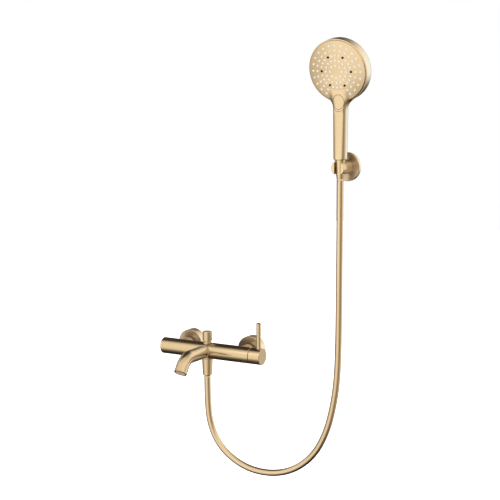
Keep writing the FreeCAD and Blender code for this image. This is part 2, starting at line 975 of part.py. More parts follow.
def holder_screw(point):
    """A wall screw: its thread in the wall, its neck in the plate and its flat head."""
    front = point + V(0, -holder_plate_thickness, 0)
    thread = rod(screw_radius, front + V(0, screw_length, 0), point)
    neck = rod(screw_neck_radius, point, front)
    head = taper(screw_head_radius, screw_head_radius - 1.2, front, front + V(0, -2.2, 0))
    cross = Part.makeBox(4.4, 1.4, 0.9, front + V(-2.2, -2.2, -0.45))
    return thread.fuse([neck, head]).cut(cross)


def holder_rosette():
    """The round cover over the plate."""
    profile = [
        (holder_disc_radius - holder_wall, 0),
        (holder_disc_radius, 0),
        (holder_disc_radius, holder_disc_depth - edge_chamfer),
        (holder_disc_radius - edge_chamfer, holder_disc_depth),
        (holder_boss_radius + 0.2, holder_disc_depth),
        (holder_boss_radius + 0.2, holder_disc_depth - holder_wall),
        (holder_disc_radius - holder_wall, holder_disc_depth - holder_wall),
    ]
    return turned(profile, wall_point(holder_x, 0, holder_z), V(0, -1, 0))


def holder_arm():
    """The arm with the conical socket and the slot that lets the hose in."""
    back = wall_point(holder_x, holder_disc_depth, holder_z)
    front = wall_point(holder_x, arm_front, holder_z)
    arm = chamfered_rod(arm_radius, back, front, edge_chamfer)
    boss_room = rod(
        holder_boss_radius + thread_gap, back, wall_point(holder_x, holder_boss_length + 0.5, holder_z)
    )
    axis_low = V(holder_x, socket_y, cone_bottom)
    axis_high = V(holder_x, socket_y, handle_bottom)
    socket = taper(
        cone_bottom_radius + seat_gap, cone_top_radius + seat_gap, axis_low, axis_high
    )
    slot = Part.makeBox(
        slot_width, arm_front - socket_standoff + 5, 2 * arm_radius + 4,
        V(holder_x - slot_width / 2, -arm_front - 5, holder_z - arm_radius - 2),
    )
    screw_out = (holder_disc_depth + holder_boss_length) / 2
    screw_hole = rod(
        grub_radius + thread_gap,
        wall_point(holder_x, screw_out, holder_z - holder_boss_radius),
        wall_point(holder_x, screw_out, holder_z - arm_radius),
    )
    return arm.cut([boss_room, socket, slot, screw_hole])


# Hose

def hose_points():
    """The route's points in space."""
    points = []
    for x, z in hose_route:
        out = bar_standoff + (socket_standoff - bar_standoff) * x / holder_x
        points.append(wall_point(x, out, z))
    return points


def rounded_path(points):
    """Straight runs joined by arcs as large as the runs allow."""
    share = 0.45
    edges = []
    radii = []
    length = 0.0
    here = points[0]
    for before, corner, after in zip(points, points[1:], points[2:]):
        back = before - corner
        ahead = after - corner
        reach = share * min(back.Length, ahead.Length)
        turn = math.pi - back.getAngle(ahead)
        radius = reach / math.tan(turn / 2)
        back.normalize()
        ahead.normalize()
        inward = back + ahead
        inward.normalize()
        arc_start = corner + back * reach
        arc_end = corner + ahead * reach
        arc_mid = corner + inward * (radius / math.cos(turn / 2) - radius)
        edges.append(Part.LineSegment(here, arc_start).toShape())
        edges.append(Part.Arc(arc_start, arc_mid, arc_end).toShape())
        length += (arc_start - here).Length + radius * turn
        radii.append(radius)
        here = arc_end
    edges.append(Part.LineSegment(here, points[-1]).toShape())
    length += (points[-1] - here).Length
    return Part.Wire(edges), radii, length


def shower_hose():
    """The smooth hose from the lower nut to the cone nut."""
    points = hose_points()
    path, radii, length = rounded_path(points)
    hose = swept(path, hose_radius, points[0], points[1] - points[0])
    section = math.pi * hose_radius ** 2
    print("hose radii", [round(radius) for radius in radii])
    print("hose length", round(length, 1), "volume share", round(hose.Volume / section / length, 4))
    return hose


def cone_nut():
    """The conical nut that seats in the holder and screws to the handset."""
    profile = [
        (cone_bottom_radius, 0),
        (cone_top_radius, handle_bottom - cone_bottom),
        (cone_head_radius, cone_shoulder - cone_bottom),
        (cone_head_radius, cone_top - cone_bottom),
        (thread_radius + thread_gap, cone_top - cone_bottom),
        (thread_radius + thread_gap, cone_shoulder - cone_bottom),
        (hose_radius + fit_gap, cone_shoulder - cone_bottom),
        (hose_radius + fit_gap, 0),
    ]
    return turned(profile, V(holder_x, socket_y, cone_bottom), V(0, 0, 1))


def socket_point(z):
    """A point on the socket's axis."""
    return V(holder_x, socket_y, z)


def upper_ferrule():
    """The crimped end of the hose inside the cone nut."""
    flange = rod(
        thread_radius - 0.3, socket_point(cone_shoulder), socket_point(cone_shoulder + ferrule_flange)
    )
    tail = rod(hose_radius, socket_point(cone_bottom), socket_point(cone_shoulder))
    bore = rod(
        ferrule_bore, socket_point(cone_bottom), socket_point(cone_shoulder + ferrule_flange)
    )
    return flange.fuse(tail).cut(bore)


def upper_washer():
    """The rubber washer between hose and handset."""
    low = cone_shoulder + ferrule_flange
    return pipe(
        thread_radius - 0.4, ferrule_bore + 1.2, socket_point(low), socket_point(low + hose_washer)
    )


# Handset

def dome_sink(radius):
    """How far the domed face falls back at a distance from its middle."""
    return dome_radius - math.sqrt(dome_radius ** 2 - radius ** 2)


def seam_depth():
    """How far behind the middle of the face its seam lies."""
    return dome_sink(seam_radius - seam_round) + seam_round


def cavity_depth():
    """How deep the head is hollow, behind the middle of the face."""
    return seam_depth() + edge_chamfer + rim_length + shoulder - back_wall


def handle_section(z, radius, flat):
    """The handle's outline: a circle with a flat in front and soft corners."""
    inner = radius - flat_corner
    drop = flat - flat_corner
    side = math.sqrt(inner ** 2 - drop ** 2)
    on_circle = V(side, -drop, 0) * (radius / inner)
    on_flat = V(side, -flat, 0)
    center = V(side, -drop, 0)
    middle = (on_circle - center) + (on_flat - center)
    bend = center + middle * (flat_corner / middle.Length)

    def mirrored(point):
        return V(-point.x, point.y, point.z)

    edges = [
        Part.Arc(on_circle, V(0, radius, 0), mirrored(on_circle)).toShape(),
        Part.Arc(mirrored(on_circle), mirrored(bend), mirrored(on_flat)).toShape(),
        Part.LineSegment(mirrored(on_flat), on_flat).toShape(),
        Part.Arc(on_flat, bend, on_circle).toShape(),
    ]
    wire = Part.Wire(edges)
    wire.translate(socket_point(z))
    return wire


def handle_half(depth):
    """Half the width of the handle's top section at a depth behind its flat."""
    inner = handle_top_radius - flat_corner
    drop = flat_top - flat_corner
    corner_depth = flat_corner * (1 - drop / inner)
    if depth < corner_depth:
        side = math.sqrt(inner ** 2 - drop ** 2)
        return side + math.sqrt(flat_corner ** 2 - (flat_corner - depth) ** 2)
    return math.sqrt(handle_top_radius ** 2 - (flat_top - depth) ** 2)


def neck_outline(depth, inset, fillet):
    """The neck seen from the front: two hollow arcs and a top inside the head."""
    half_width = handle_half(depth)
    circle_radius = head_radius - inset
    center_x = half_width + fillet
    reach = circle_radius + fillet
    fall = math.sqrt(reach ** 2 - center_x ** 2)
    share = circle_radius / reach
    center = V(center_x, 0, -fall)
    top = V(center_x * share, 0, -fall * share)
    foot = V(half_width, 0, -fall)
    middle = (top - center) + (foot - center)
    bend = center + middle * (fillet / middle.Length)
    crest = V(circle_radius * 0.35, 0, ridge_end - face_center.z)

    def mirrored(point):
        return V(-point.x, point.y, point.z)

    edges = [
        Part.LineSegment(crest, top).toShape(),
        Part.Arc(top, bend, foot).toShape(),
        Part.LineSegment(foot, mirrored(foot)).toShape(),
        Part.Arc(mirrored(foot), mirrored(bend), mirrored(top)).toShape(),
        Part.LineSegment(mirrored(top), mirrored(crest)).toShape(),
        Part.LineSegment(mirrored(crest), crest).toShape(),
    ]
    wire = Part.Wire(edges)
    wire.translate(V(holder_x, ridge_y + depth, face_center.z))
    return wire


def head_form():
    """The round head in its own frame: domed face, rim and gently domed back."""
    seam_at = seam_depth()
    lip = seam_at + edge_chamfer
    edge = seam_radius - seam_round
    bow = seam_round * (1 - math.sqrt(0.5))
    rim_end = lip + rim_length
    back_radius = head_radius - shoulder
    bend = shoulder * math.sqrt(0.5)
    back = rim_end + shoulder
    profile = [
        (0, 0),
        ((edge / 2, -dome_sink(edge / 2)), (edge, -dome_sink(edge))),
        ((seam_radius - bow, -dome_sink(edge) - bow), (seam_radius, -seam_at)),
        (head_radius - edge_chamfer, -seam_at),
        (head_radius, -lip),
        (head_radius, -rim_end),
        ((back_radius + bend, -rim_end - bend), (back_radius, -back)),
        crown(back_radius, -back_rise, -back - back_rise),
    ]
    return turned(profile, V(0, 0, 0), V(0, 0, 1))


def handset_outside():
    """Handle, neck and head as one solid, before it is split and hollowed."""
    low = handle_bottom + handle_chamfer
    share = (cover_z - low) / (ridge_end - low)
    cover_radius = handle_bottom_radius + (handle_top_radius - handle_bottom_radius) * share
    sections = [
        handle_section(handle_bottom, handle_foot_radius, flat_bottom),
        handle_section(low, handle_bottom_radius, flat_bottom),
        handle_section(cover_z, cover_radius, flat_top),
        handle_section(ridge_end, handle_top_radius, flat_top),
    ]
    handle = Part.makeLoft(sections, True, True)
    neck = Part.makeLoft([neck_outline(*section) for section in neck_sections], True, True)
    return on_head(head_form()).fuse([handle, neck])


def cover_region(gap):
    """The space that the front cover takes: the face and a tongue below the button."""
    face = rod(seam_radius + gap, V(0, 0, -seam_depth()), V(0, 0, clear_ahead))
    front = V(holder_x, ridge_y - clear_ahead, button_z)
    back = V(holder_x, ridge_y + tongue_depth, button_z)
    tongue = rod(button_half_height + tongue_below + gap, front, back)
    return on_head(face).fuse(tongue)


def button_point(reach):
    """A point on the button's axis, by its distance behind the flat."""
    return V(holder_x, ridge_y + reach, button_z)


def button_oval(growth, near, far):
    """The button's oval, grown by a gap, between two distances behind the flat."""
    center = button_point(near)
    top = center + V(0, 0, button_half_height + growth)
    side = center + V(button_half_width + growth, 0, 0)
    wire = Part.Wire(Part.Ellipse(top, side, center).toShape())
    return Part.Face(wire).extrude(V(0, far - near, 0))


def button_well(gap, reach):
    """The oval space round the button, from ahead of it to its reach."""
    return button_oval(gap, -clear_ahead, reach)


def valve_cross_bore():
    """The round bore behind the button that the valve's block fills."""
    return rod(valve_bore, button_point(-clear_ahead), V(holder_x, valve_y, button_z))


def well_depth():
    """How far behind the flat the button's well goes."""
    return button_thickness - button_proud + button_travel + 0.4


def handset_shell():
    """The handset's casing: back, handle and rim in one."""
    shell = handset_outside().cut(cover_region(cover_gap))
    cavity = rod(cavity_radius, V(0, 0, -cavity_depth()), V(0, 0, 0))
    top = handle_bottom + recess_depth
    valve_low = V(holder_x, valve_y, cover_z)
    valve_high = V(holder_x, valve_y, ridge_end)
    cuts = [
        on_head(cavity),
        button_well(button_gap, well_depth()),
        valve_cross_bore(),
        rod(handle_bore, socket_point(top), socket_point(button_z - valve_length / 2)),
        rod(recess_radius, socket_point(handle_bottom), socket_point(top)),
        rod(valve_bore, valve_low, valve_high),
    ]
    return shell.cut(cuts)


def nozzle_places():
    """Where the small nozzles stand on the face."""
    places = []
    for ring, (radius, count) in enumerate(zip(ring_radii, ring_counts)):
        for step in range(count):
            angle = 360.0 * step / count
            below = abs((angle + 270.0) % 360.0 - 180.0)
            behind_button = ring >= blocked_from_ring and below < blocked_half_angle
            is_jet = ring == jet_step and step % (count // jet_count) == 0
            if not behind_button and not is_jet:
                turn = math.radians(angle)
                places.append((radius * math.cos(turn), radius * math.sin(turn)))
    return places


def jet_places():
    """Where the larger jets stand on the face."""
    places = []
    for step in range(jet_count):
        turn = 2 * math.pi * step / jet_count
        places.append((jet_ring * math.cos(turn), jet_ring * math.sin(turn)))
    return places


def face_cover():
    """The domed spray face with its ridge, its holes and the button's opening."""
    cover = handset_outside().common(cover_region(0))
    inner_edge = seam_radius - cover_wall
    profile = [
        (0, -cover_wall),
        (
            (inner_edge / 2, -cover_wall - dome_sink(inner_edge / 2)),
            (inner_edge, -cover_wall - dome_sink(inner_edge)),
        ),
        (inner_edge, -seam_depth() - 1),
        (0, -seam_depth() - 1),
    ]
    cover = cover.cut(on_head(turned(profile, V(0, 0, 0), V(0, 0, 1))))
    cover = cover.cut([
        button_well(button_gap, well_depth()),
        valve_cross_bore(),
        rod(
            valve_bore, V(holder_x, valve_y, cover_z), V(holder_x, valve_y, ridge_end),
        ),
    ])
    holes = []
    for x, y in nozzle_places():
        holes.append(rod(nozzle_radius + nozzle_gap, V(x, y, -seam_depth()), V(x, y, clear_ahead)))
    for x, y in jet_places():
        holes.append(rod(jet_radius + fit_gap, V(x, y, -seam_depth()), V(x, y, clear_ahead)))
    return cover.cut([on_head(hole) for hole in holes])


def nozzle_mat():
    """The silicone mat with its soft nozzle tips."""
    near = cover_wall
    far = cover_wall + mat_thickness
    half = mat_radius / 2
    profile = [
        (0, -near),
        ((half, -near - dome_sink(half)), (mat_radius, -near - dome_sink(mat_radius))),
        (mat_radius, -far - dome_sink(mat_radius)),
        ((half, -far - dome_sink(half)), (0, -far)),
    ]
    mat = turned(profile, V(0, 0, 0), V(0, 0, 1))
    tips = []
    for x, y in nozzle_places():
        sink = dome_sink(math.hypot(x, y))
        root = V(x, y, -near - sink - mat_thickness / 2)
        face = V(x, y, -sink)
        tips.append(rod(nozzle_radius, root, face))
        tips.append(taper(nozzle_radius, nozzle_tip_radius, face, V(x, y, nozzle_proud - sink)))
    mat = on_head(mat.fuse(tips).removeSplitter())
    holes = [button_well(2 * button_gap, well_depth() + button_clearing)]
    for x, y in jet_places():
        holes.append(on_head(rod(
            jet_radius + fit_gap, V(x, y, -cavity_depth()), V(x, y, clear_ahead)
        )))
    return mat.cut(holes)


def jet_nozzle(x, y):
    """One larger jet with its bore."""
    sink = dome_sink(jet_ring)
    back = V(x, y, -cover_wall - mat_thickness - sink)
    front = V(x, y, jet_proud - sink)
    return on_head(rod(jet_radius, back, front).cut(rod(jet_bore, back, front)))


def seal_depth():
    """Where the flat seal lies behind the mat."""
    return cover_wall + mat_thickness + dome_sink(mat_radius)


def face_seal():
    """The seal between the mat and the water dish."""
    near = seal_depth()
    low = V(0, 0, -near - seal_thickness)
    ring = pipe(mat_radius, mat_radius - seal_width, low, V(0, 0, -near))
    return on_head(ring).cut(valve_notch())


def valve_notch():
    """The way that the valve's housing takes through the seal and the dish's wall."""
    low = V(holder_x, valve_y, cover_z)
    high = V(holder_x, valve_y, button_z + valve_length / 2 + 0.5)
    return rod(valve_radius + fit_gap, low, high).fuse(
        button_well(2 * button_gap, well_depth() + dish_clearing)
    )


def water_dish():
    """The dish behind the mat that spreads the water."""
    near = seal_depth() + seal_thickness
    floor = cavity_depth() - seat_gap
    dish = rod(dish_radius, V(0, 0, -floor), V(0, 0, -near))
    room = rod(dish_radius - dish_wall, V(0, 0, -floor + dish_wall), V(0, 0, -near))
    dish = on_head(dish.cut(room)).cut(valve_notch())
    posts = []
    for step in range(jet_count):
        angle = math.pi / 6 + 2 * math.pi * step / jet_count
        x = jet_ring * math.cos(angle)
        y = jet_ring * math.sin(angle)
        posts.append(on_head(rod(post_radius, V(x, y, -floor), V(x, y, -near))))
    return dish.fuse(posts)


def valve_floor():
    """How far behind the flat the valve's cross bore ends."""
    return valve_y + valve_radius - 1.0 - ridge_y


def valve_housing():
    """The mode valve's block in the neck, behind the button."""
    low = V(holder_x, valve_y, button_z - valve_length / 2)
    high = V(holder_x, valve_y, button_z + valve_length / 2)
    cuts = [
        rod(spool_radius + spool_gap, button_point(0), button_point(valve_floor())),
        rod(2.6, low, high),
        button_well(button_gap, well_depth()),
    ]
    return rod(valve_radius, low, high).cut(cuts)


def select_button():
    """The oval button on the neck, with a broken edge."""
    button = button_oval(0, -button_proud, button_thickness - button_proud)
    front = button_point(-button_proud).y
    rim = [edge for edge in button.Edges if abs(edge.BoundBox.YMax - front) < button_edge]
    return button.makeChamfer(button_edge, rim)


def selector_spool():
    """The spool that the button pushes."""
    near = button_thickness - button_proud
    spool = rod(spool_radius, button_point(near), button_point(near + spool_length))
    middle = near + spool_length * 0.7
    groove = pipe(
        spool_radius, spool_radius - 1.2, button_point(middle - 1.2), button_point(middle + 1.2)
    )
    return spool.cut(groove)


def button_spring():
    """The coil behind the spool, from quarter turns of its helix."""
    near = button_thickness - button_proud + spool_length + spring_wire + 0.1
    far = valve_floor() - spring_wire - 0.1

    def helix_point(share):
        angle = 2 * math.pi * spring_turns * share
        return V(
            holder_x + spring_radius * math.cos(angle),
            ridge_y + near + (far - near) * share,
            button_z + spring_radius * math.sin(angle),
        )

    quarters = 4 * spring_turns
    edges = []
    for step in range(quarters):
        edges.append(Part.Arc(
            helix_point(step / quarters),
            helix_point((step + 0.5) / quarters),
            helix_point((step + 1) / quarters),
        ).toShape())
    start = helix_point(0)
    coil = swept(Part.Wire(edges), spring_wire, start, helix_point(0.1 / quarters) - start)
    pitch = (far - near) / spring_turns
    print("spring gap between turns", round(pitch - 2 * spring_wire, 2))
    return coil


def handset_connector():
    """The threaded nipple in the foot of the handle."""
    low = cone_shoulder + ferrule_flange + hose_washer
    shoulder_z = handle_bottom + recess_depth
    top = shoulder_z + connector_reach
    nipple = rod(thread_radius, socket_point(low), socket_point(shoulder_z))
    nipple = nipple.fuse(rod(handle_bore - fit_gap, socket_point(shoulder_z), socket_point(top)))
    return nipple.cut(rod(tube_bore, socket_point(low), socket_point(top)))


def waterway_tube():
    """The inner tube that carries the water up the handle."""
    low = handle_bottom + recess_depth + connector_reach
    high = button_z - valve_length / 2
    return pipe(tube_radius, tube_bore, socket_point(low), socket_point(high))


# Every node

os.makedirs("parts", exist_ok=True)

hot_x = -inlet_spacing / 2
cold_x = inlet_spacing / 2

save("mixer_body", mixer_body())
save("end_plug", end_plug())
save("end_plug_oring", end_plug_oring())
save("union_hot", eccentric_union(hot_x))
save("union_cold", eccentric_union(cold_x))
save("union_nuts", union_nut(hot_x), union_nut(cold_x))
save("filter_washers", filter_washer(hot_x), filter_washer(cold_x))
save("flange_hot", wall_flange(hot_x))
save("flange_cold", wall_flange(cold_x))
save("flange_seals", flange_seal(hot_x), flange_seal(cold_x))

save("cartridge_seal", cartridge_seal())
save("cartridge_base", cartridge_bottom())
save("cartridge_body", cartridge_body())
save("ceramic_disc_fixed", fixed_disc())
save("ceramic_disc_moving", moving_disc())
save("cartridge_stem", stem())
save("cartridge_nut", cartridge_nut())
save("lever_hub", lever_hub())
save("lever_pin", lever_pin())
save("hub_grub_screw", grub_screw(
    bar_point(grub_x, 0, -bar_radius + 2), bar_point(grub_x, 0, -stem_radius - thread_gap),
    grub_radius, 2.5,
))

save("diverter_seat", diverter_seat())
save("diverter_gland", diverter_gland())
save("diverter_oring", gland_oring())
save("diverter_spindle", diverter_spindle())
save("diverter_valve", diverter_valve())
save("diverter_knob", diverter_knob())

save("outlet_check_valve", check_valve())
save("hose_washer_lower", lower_washer())
save("hose_ferrule_lower", lower_ferrule())
save("hose_nut_lower", lower_nut())

save("spout_tube", spout_tube())
save("spout_oring", spout_oring())
spout_screw_out = spout_start - spout_tail_length / 2
save("spout_grub_screw", grub_screw(
    wall_point(0, spout_screw_out, spout_z - spout_boss_radius + 0.6),
    wall_point(0, spout_screw_out, spout_z - spout_tail_radius - thread_gap),
    grub_radius, 2.0,
))
save("aerator_housing", aerator_housing())
save("aerator_insert", aerator_insert())
save("aerator_washer", aerator_washer())

save("holder_plate", holder_plate())
save("holder_screws", *[holder_screw(point) for point in holder_screw_points()])
save("holder_rosette", holder_rosette())
save("holder_arm", holder_arm())
holder_screw_out = (holder_disc_depth + holder_boss_length) / 2
save("holder_grub_screw", grub_screw(
    wall_point(holder_x, holder_screw_out, holder_z - arm_radius + 1),
    wall_point(holder_x, holder_screw_out, holder_z - holder_boss_radius - thread_gap),
    grub_radius, 2.5,
))

save("shower_hose", shower_hose())
save("cone_nut", cone_nut())
save("hose_ferrule_upper", upper_ferrule())
save("hose_washer_upper", upper_washer())

save("handset_shell", handset_shell())
save("face_cover", face_cover())
save("nozzle_mat", nozzle_mat())
save("jet_nozzles", *[jet_nozzle(x, y) for x, y in jet_places()])
save("face_seal", face_seal())
save("water_dish", water_dish())
save("valve_housing", valve_housing())
save("select_button", select_button())
save("selector_spool", selector_spool())
save("button_spring", button_spring())
save("handset_connector", handset_connector())
save("waterway_tube", waterway_tube())
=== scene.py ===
# %% [markdown]
# # A shower mixer set on a wall
# The set is a round mixer bar with a curved spout, a pull knob and a lever pin,
# a smooth hose in one loop, and a hand shower that stands in a wall holder.
# The metal parts come in ready as solid models, each piece on the body that it moves
# with. This script dresses them: it hangs the hose, adds the small detail that shows
# from near by, mixes the finishes and lights the set. Everything is in metres.

import math

import bmesh
import bpy
from mathutils import Matrix, Vector


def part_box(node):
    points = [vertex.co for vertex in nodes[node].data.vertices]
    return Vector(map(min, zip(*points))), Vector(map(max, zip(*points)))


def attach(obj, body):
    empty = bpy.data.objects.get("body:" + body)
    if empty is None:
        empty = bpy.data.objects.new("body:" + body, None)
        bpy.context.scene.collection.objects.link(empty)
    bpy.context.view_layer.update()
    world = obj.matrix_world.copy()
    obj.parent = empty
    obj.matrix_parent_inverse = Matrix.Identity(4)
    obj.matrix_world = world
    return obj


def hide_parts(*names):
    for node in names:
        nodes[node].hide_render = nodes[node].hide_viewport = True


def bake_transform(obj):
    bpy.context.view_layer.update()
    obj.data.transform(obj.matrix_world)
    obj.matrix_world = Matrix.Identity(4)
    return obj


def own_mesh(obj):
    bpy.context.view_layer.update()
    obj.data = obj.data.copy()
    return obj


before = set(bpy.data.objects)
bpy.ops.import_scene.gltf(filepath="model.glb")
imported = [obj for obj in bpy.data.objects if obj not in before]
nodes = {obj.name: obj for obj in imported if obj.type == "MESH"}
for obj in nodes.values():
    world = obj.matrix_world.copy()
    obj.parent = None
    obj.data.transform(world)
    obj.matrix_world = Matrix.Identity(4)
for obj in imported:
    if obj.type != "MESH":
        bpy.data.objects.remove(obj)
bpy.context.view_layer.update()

# %% [markdown]
# ## The camera
# A product photographer stands well back with a long lens, so that the round head and
# the bar keep their true shapes. The camera looks down a little from the right. Its
# place is set by its distance and by the direction that it looks in, and its three axes
# are written as the columns of its matrix.

# %% Set up the camera
def new_object(name, data):
    """A new object in the scene."""
    made = bpy.data.objects.new(name, data)
    bpy.context.scene.collection.objects.link(made)
    return made


camera_place = Vector((1.7898, -2.9973, 0.7461))
camera_back = Vector((0.49316, -0.85686, 0.15026))
camera_right = Vector((0.86670, 0.49882, 0.0))
camera_up = camera_back.cross(camera_right)
camera_data = bpy.data.cameras.new("camera")
camera_data.lens = 117.8
camera_data.sensor_width = 36.0
camera = new_object("camera", camera_data)
turn = Matrix((camera_right, camera_up, camera_back)).transposed()
camera.matrix_world = Matrix.Translation(camera_place) @ turn.to_4x4()
bpy.context.scene.camera = camera
print("camera distance", round(camera_place.length, 3))

# %% [markdown]
# ## The hose
# A shower hose has a smooth outer skin over a braid, 14 mm thick, so it can't bend
# sharply. It leaves the nut under the bar, hangs in one even loop under its own weight
# and rises almost straight to the holder. One smooth curve through a few control points
# describes that better than a chain of arcs. A NURBS curve of order 3 leans on its
# control points without touching the corners, which gives the soft, even bends.

# %% Draw the hose's line
hose_radius = 0.0070
socket_x = 0.2968
bar_y = -0.0704
socket_y = -0.0355
hose_route = [
    (0.0, -0.045),
    (0.0, -0.096),
    (0.006, -0.156),
    (0.033, -0.206),
    (0.084, -0.240),
    (0.142, -0.249),
    (0.198, -0.235),
    (0.244, -0.197),
    (0.2715, -0.144),
    (0.2864, -0.084),
    (0.2942, -0.024),
    (0.2964, 0.062),
    (0.2966, 0.180),
    (socket_x, 0.290),
    (socket_x, 0.397),
]


def route_point(x, z):
    """A point of the hose's upright plane, as a control point with its weight."""
    share = x / socket_x
    return (x, bar_y + (socket_y - bar_y) * share, z, 1.0)


def nurbs_line(name, controls):
    """A smooth open curve that starts and ends on its outer control points."""
    curve = bpy.data.curves.new(name, "CURVE")
    curve.dimensions = "3D"
    curve.resolution_u = 14
    spline = curve.splines.new("NURBS")
    spline.points.add(len(controls) - 1)
    for point, place in zip(spline.points, controls):
        point.co = place
    spline.order_u = 3
    spline.use_endpoint_u = True
    return curve


def line_points(curve):
    """The points that a curve runs through, read from its mesh."""
    holder = new_object("line_reader", curve)
    mesh = bpy.data.meshes.new_from_object(holder)
    points = [v.co.copy() for v in mesh.vertices]
    bpy.data.objects.remove(holder)
    bpy.data.meshes.remove(mesh)
    return points


hose_curve = nurbs_line("hose_line", [route_point(x, z) for x, z in hose_route])
hose_points = line_points(hose_curve)

# %% [markdown]
# The skin is a tube round that line. Each ring of the tube is a circle turned to face
# along the line, and the rings are bridged one to the next. The ring is carried along
# without twist, so that the tube's faces run straight along it. The tube keeps a UV map,
# once round and once per metre along.

# %% Build the hose's skin
ring_sides = 32


def link_piece(name, bm):
    """Turn a bmesh into an object of the scene, smooth shaded."""
    mesh = bpy.data.meshes.new(name)
    for face in bm.faces:
        face.smooth = True
    bm.to_mesh(mesh)
    bm.free()
    return new_object(name, mesh)


def ring_matrices(points):
    """A place and a turn for each ring, carried along the line without twist."""
    side = Vector((0.0, 1.0, 0.0))
    matrices = []
    for i, point in enumerate(points):
        before = points[max(i - 1, 0)]
        after = points[min(i + 1, len(points) - 1)]
        ahead = (after - before).normalized()
        side = (side - ahead * side.dot(ahead)).normalized()
        across = ahead.cross(side)
        turned = Matrix((side, across, ahead)).transposed().to_4x4()
        matrices.append(Matrix.Translation(point) @ turned)
    return matrices


def tube_piece(name, points, radius, sides):
    """A closed tube that follows the points, with a UV map along it."""
    bm = bmesh.new()
    rings = []
    for matrix in ring_matrices(points):
        made = bmesh.ops.create_circle(bm, segments=sides, radius=radius, matrix=matrix)
        rings.append(made["verts"])
    along = [0.0]
    for a, b in zip(points, points[1:]):
        along.append(along[-1] + (b - a).length)
    uv = bm.loops.layers.uv.new("along")
    for i in range(len(rings) - 1):
        for k in range(sides):
            corners = [
                (rings[i][k], along[i], k), (rings[i][(k + 1) % sides], along[i], k + 1),
                (rings[i + 1][(k + 1) % sides], along[i + 1], k + 1),
                (rings[i + 1][k], along[i + 1], k),
            ]
            face = bm.faces.new([corner[0] for corner in corners])
            for loop, corner in zip(face.loops, corners):
                loop[uv].uv = (corner[2] / sides, corner[1])
    bmesh.ops.holes_fill(bm, edges=[e for e in bm.edges if e.is_boundary], sides=0)
    bmesh.ops.recalc_face_normals(bm, faces=bm.faces)
    return link_piece(name, bm)


hose = tube_piece("hose_skin", hose_points, hose_radius, ring_sides)
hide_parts("shower_hose")
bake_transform(hose)
print("hose faces", len(hose.data.polygons))

# %% [markdown]
# ## The hand shower's casing
# The casing of a hand shower is two plastic mouldings, a back with the handle and a front
# with the spray face. They flow into each other at the neck in hollow curves that have no
# edge, while the solid model only has flat steps there. A modeller could push a
# subdivided cage into that shape, but its poles would show on the round face. Here the
# plain forms are built one by one with operators, melted into one skin by a voxel remesh,
# and rubbed smooth where the real one is soft. A turned head with crisp edges is joined
# to that skin, and the seams, the button's opening and the inside are cut last of all.

# %% Note the hand shower's places
face_middle = Vector((0.2968, -0.0587, 0.6067))
face_out = Vector((0.0, -0.98325, -0.18224))
face_up = Vector((0.0, -0.18224, 0.98325))
socket = Vector((0.2968, -0.0355, 0.0))
ridge_y = -0.0469
button_z = 0.5453
dome_radius = 0.312
face_radius = 0.0624


def dome_fall(radius):
    """How far the spray face falls back at a distance from its middle."""
    return dome_radius - math.sqrt(dome_radius ** 2 - radius ** 2)


print("face falls back by", round(dome_fall(face_radius) * 1000, 2), "mm at its seam")

# %% [markdown]
# The head is turned, so its profile is spun once round its axis. The profile is a row of
# pairs: the distance from the axis, and the height along it, from the middle of the face
# to the middle of the back. The poles are merged, and the normals are worked out again,
# because a spin can leave a shape inside out. A core that is a little smaller goes into
# the melt, so that the neck flows into it, and the crisp head is joined on afterwards.

# %% Spin the round head
def spun(bm, profile, middle, out, steps):
    """Spin a profile of radius and height pairs once round an axis."""
    side = out.orthogonal().normalized()
    row = [bm.verts.new(middle + side * radius + out * height) for radius, height in profile]
    edges = [bm.edges.new(pair) for pair in zip(row, row[1:])]
    bmesh.ops.spin(
        bm, geom=row + edges, cent=middle, axis=out, angle=2 * math.pi, steps=steps,
        use_merge=True,
    )
    bmesh.ops.remove_doubles(bm, verts=bm.verts, dist=5e-6)
    bmesh.ops.recalc_face_normals(bm, faces=bm.faces)
    return bm


dome_step = 0.0018
dome_rows = [dome_step * i for i in range(35)]
head_profile = [(radius, -dome_fall(radius)) for radius in dome_rows]
head_profile += [
    (0.0618, -0.00620), (0.0621, -0.0065), (0.0622, -0.0078), (0.0623, -0.0090),
    (0.0643, -0.0091), (0.0647, -0.0093), (0.0648, -0.0097), (0.0648, -0.0140),
    (0.0648, -0.0180), (0.0648, -0.0225), (0.0648, -0.0270), (0.0645, -0.0292),
    (0.0638, -0.0310), (0.0627, -0.0325), (0.0612, -0.0338), (0.0592, -0.0346),
    (0.0568, -0.0350), (0.0440, -0.0357), (0.0300, -0.0361), (0.0150, -0.0364),
    (0.0, -0.0365),
]
head = spun(bmesh.new(), head_profile, face_middle, face_out, 180)
head_piece = link_piece("turned_head", head)
core_share = 0.998
core_sink = 0.0001
core_profile = [(r * core_share, h * core_share - core_sink) for r, h in head_profile]
forms = bmesh.new()
spun(forms, core_profile, face_middle, face_out, 128)
print("head faces", len(head_piece.data.polygons), "and in its core", len(forms.faces))

# %% [markdown]
# The handle is a round bar with a flat in front. Each level starts as a circle, and the
# front of the circle is pressed back to the flat with a soft limit, so that the flat's
# edges come out rounded. Bridging the levels makes the bar, and two caps close it.

# %% Bridge the handle's levels
# Height, radius, and the depth of the flat in front of the middle
handle_levels = [
    (0.4280, 0.0129, 0.0124), (0.4290, 0.0136, 0.0124), (0.4305, 0.0140, 0.0124),
    (0.4320, 0.0141, 0.0124), (0.5270, 0.0153, 0.0114), (0.5680, 0.0158, 0.0114),
]
flat_softness = 0.0011


def pressed(depth, limit):
    """A depth that stops softly at a limit."""
    return limit - flat_softness * math.log1p(math.exp((limit - depth) / flat_softness))


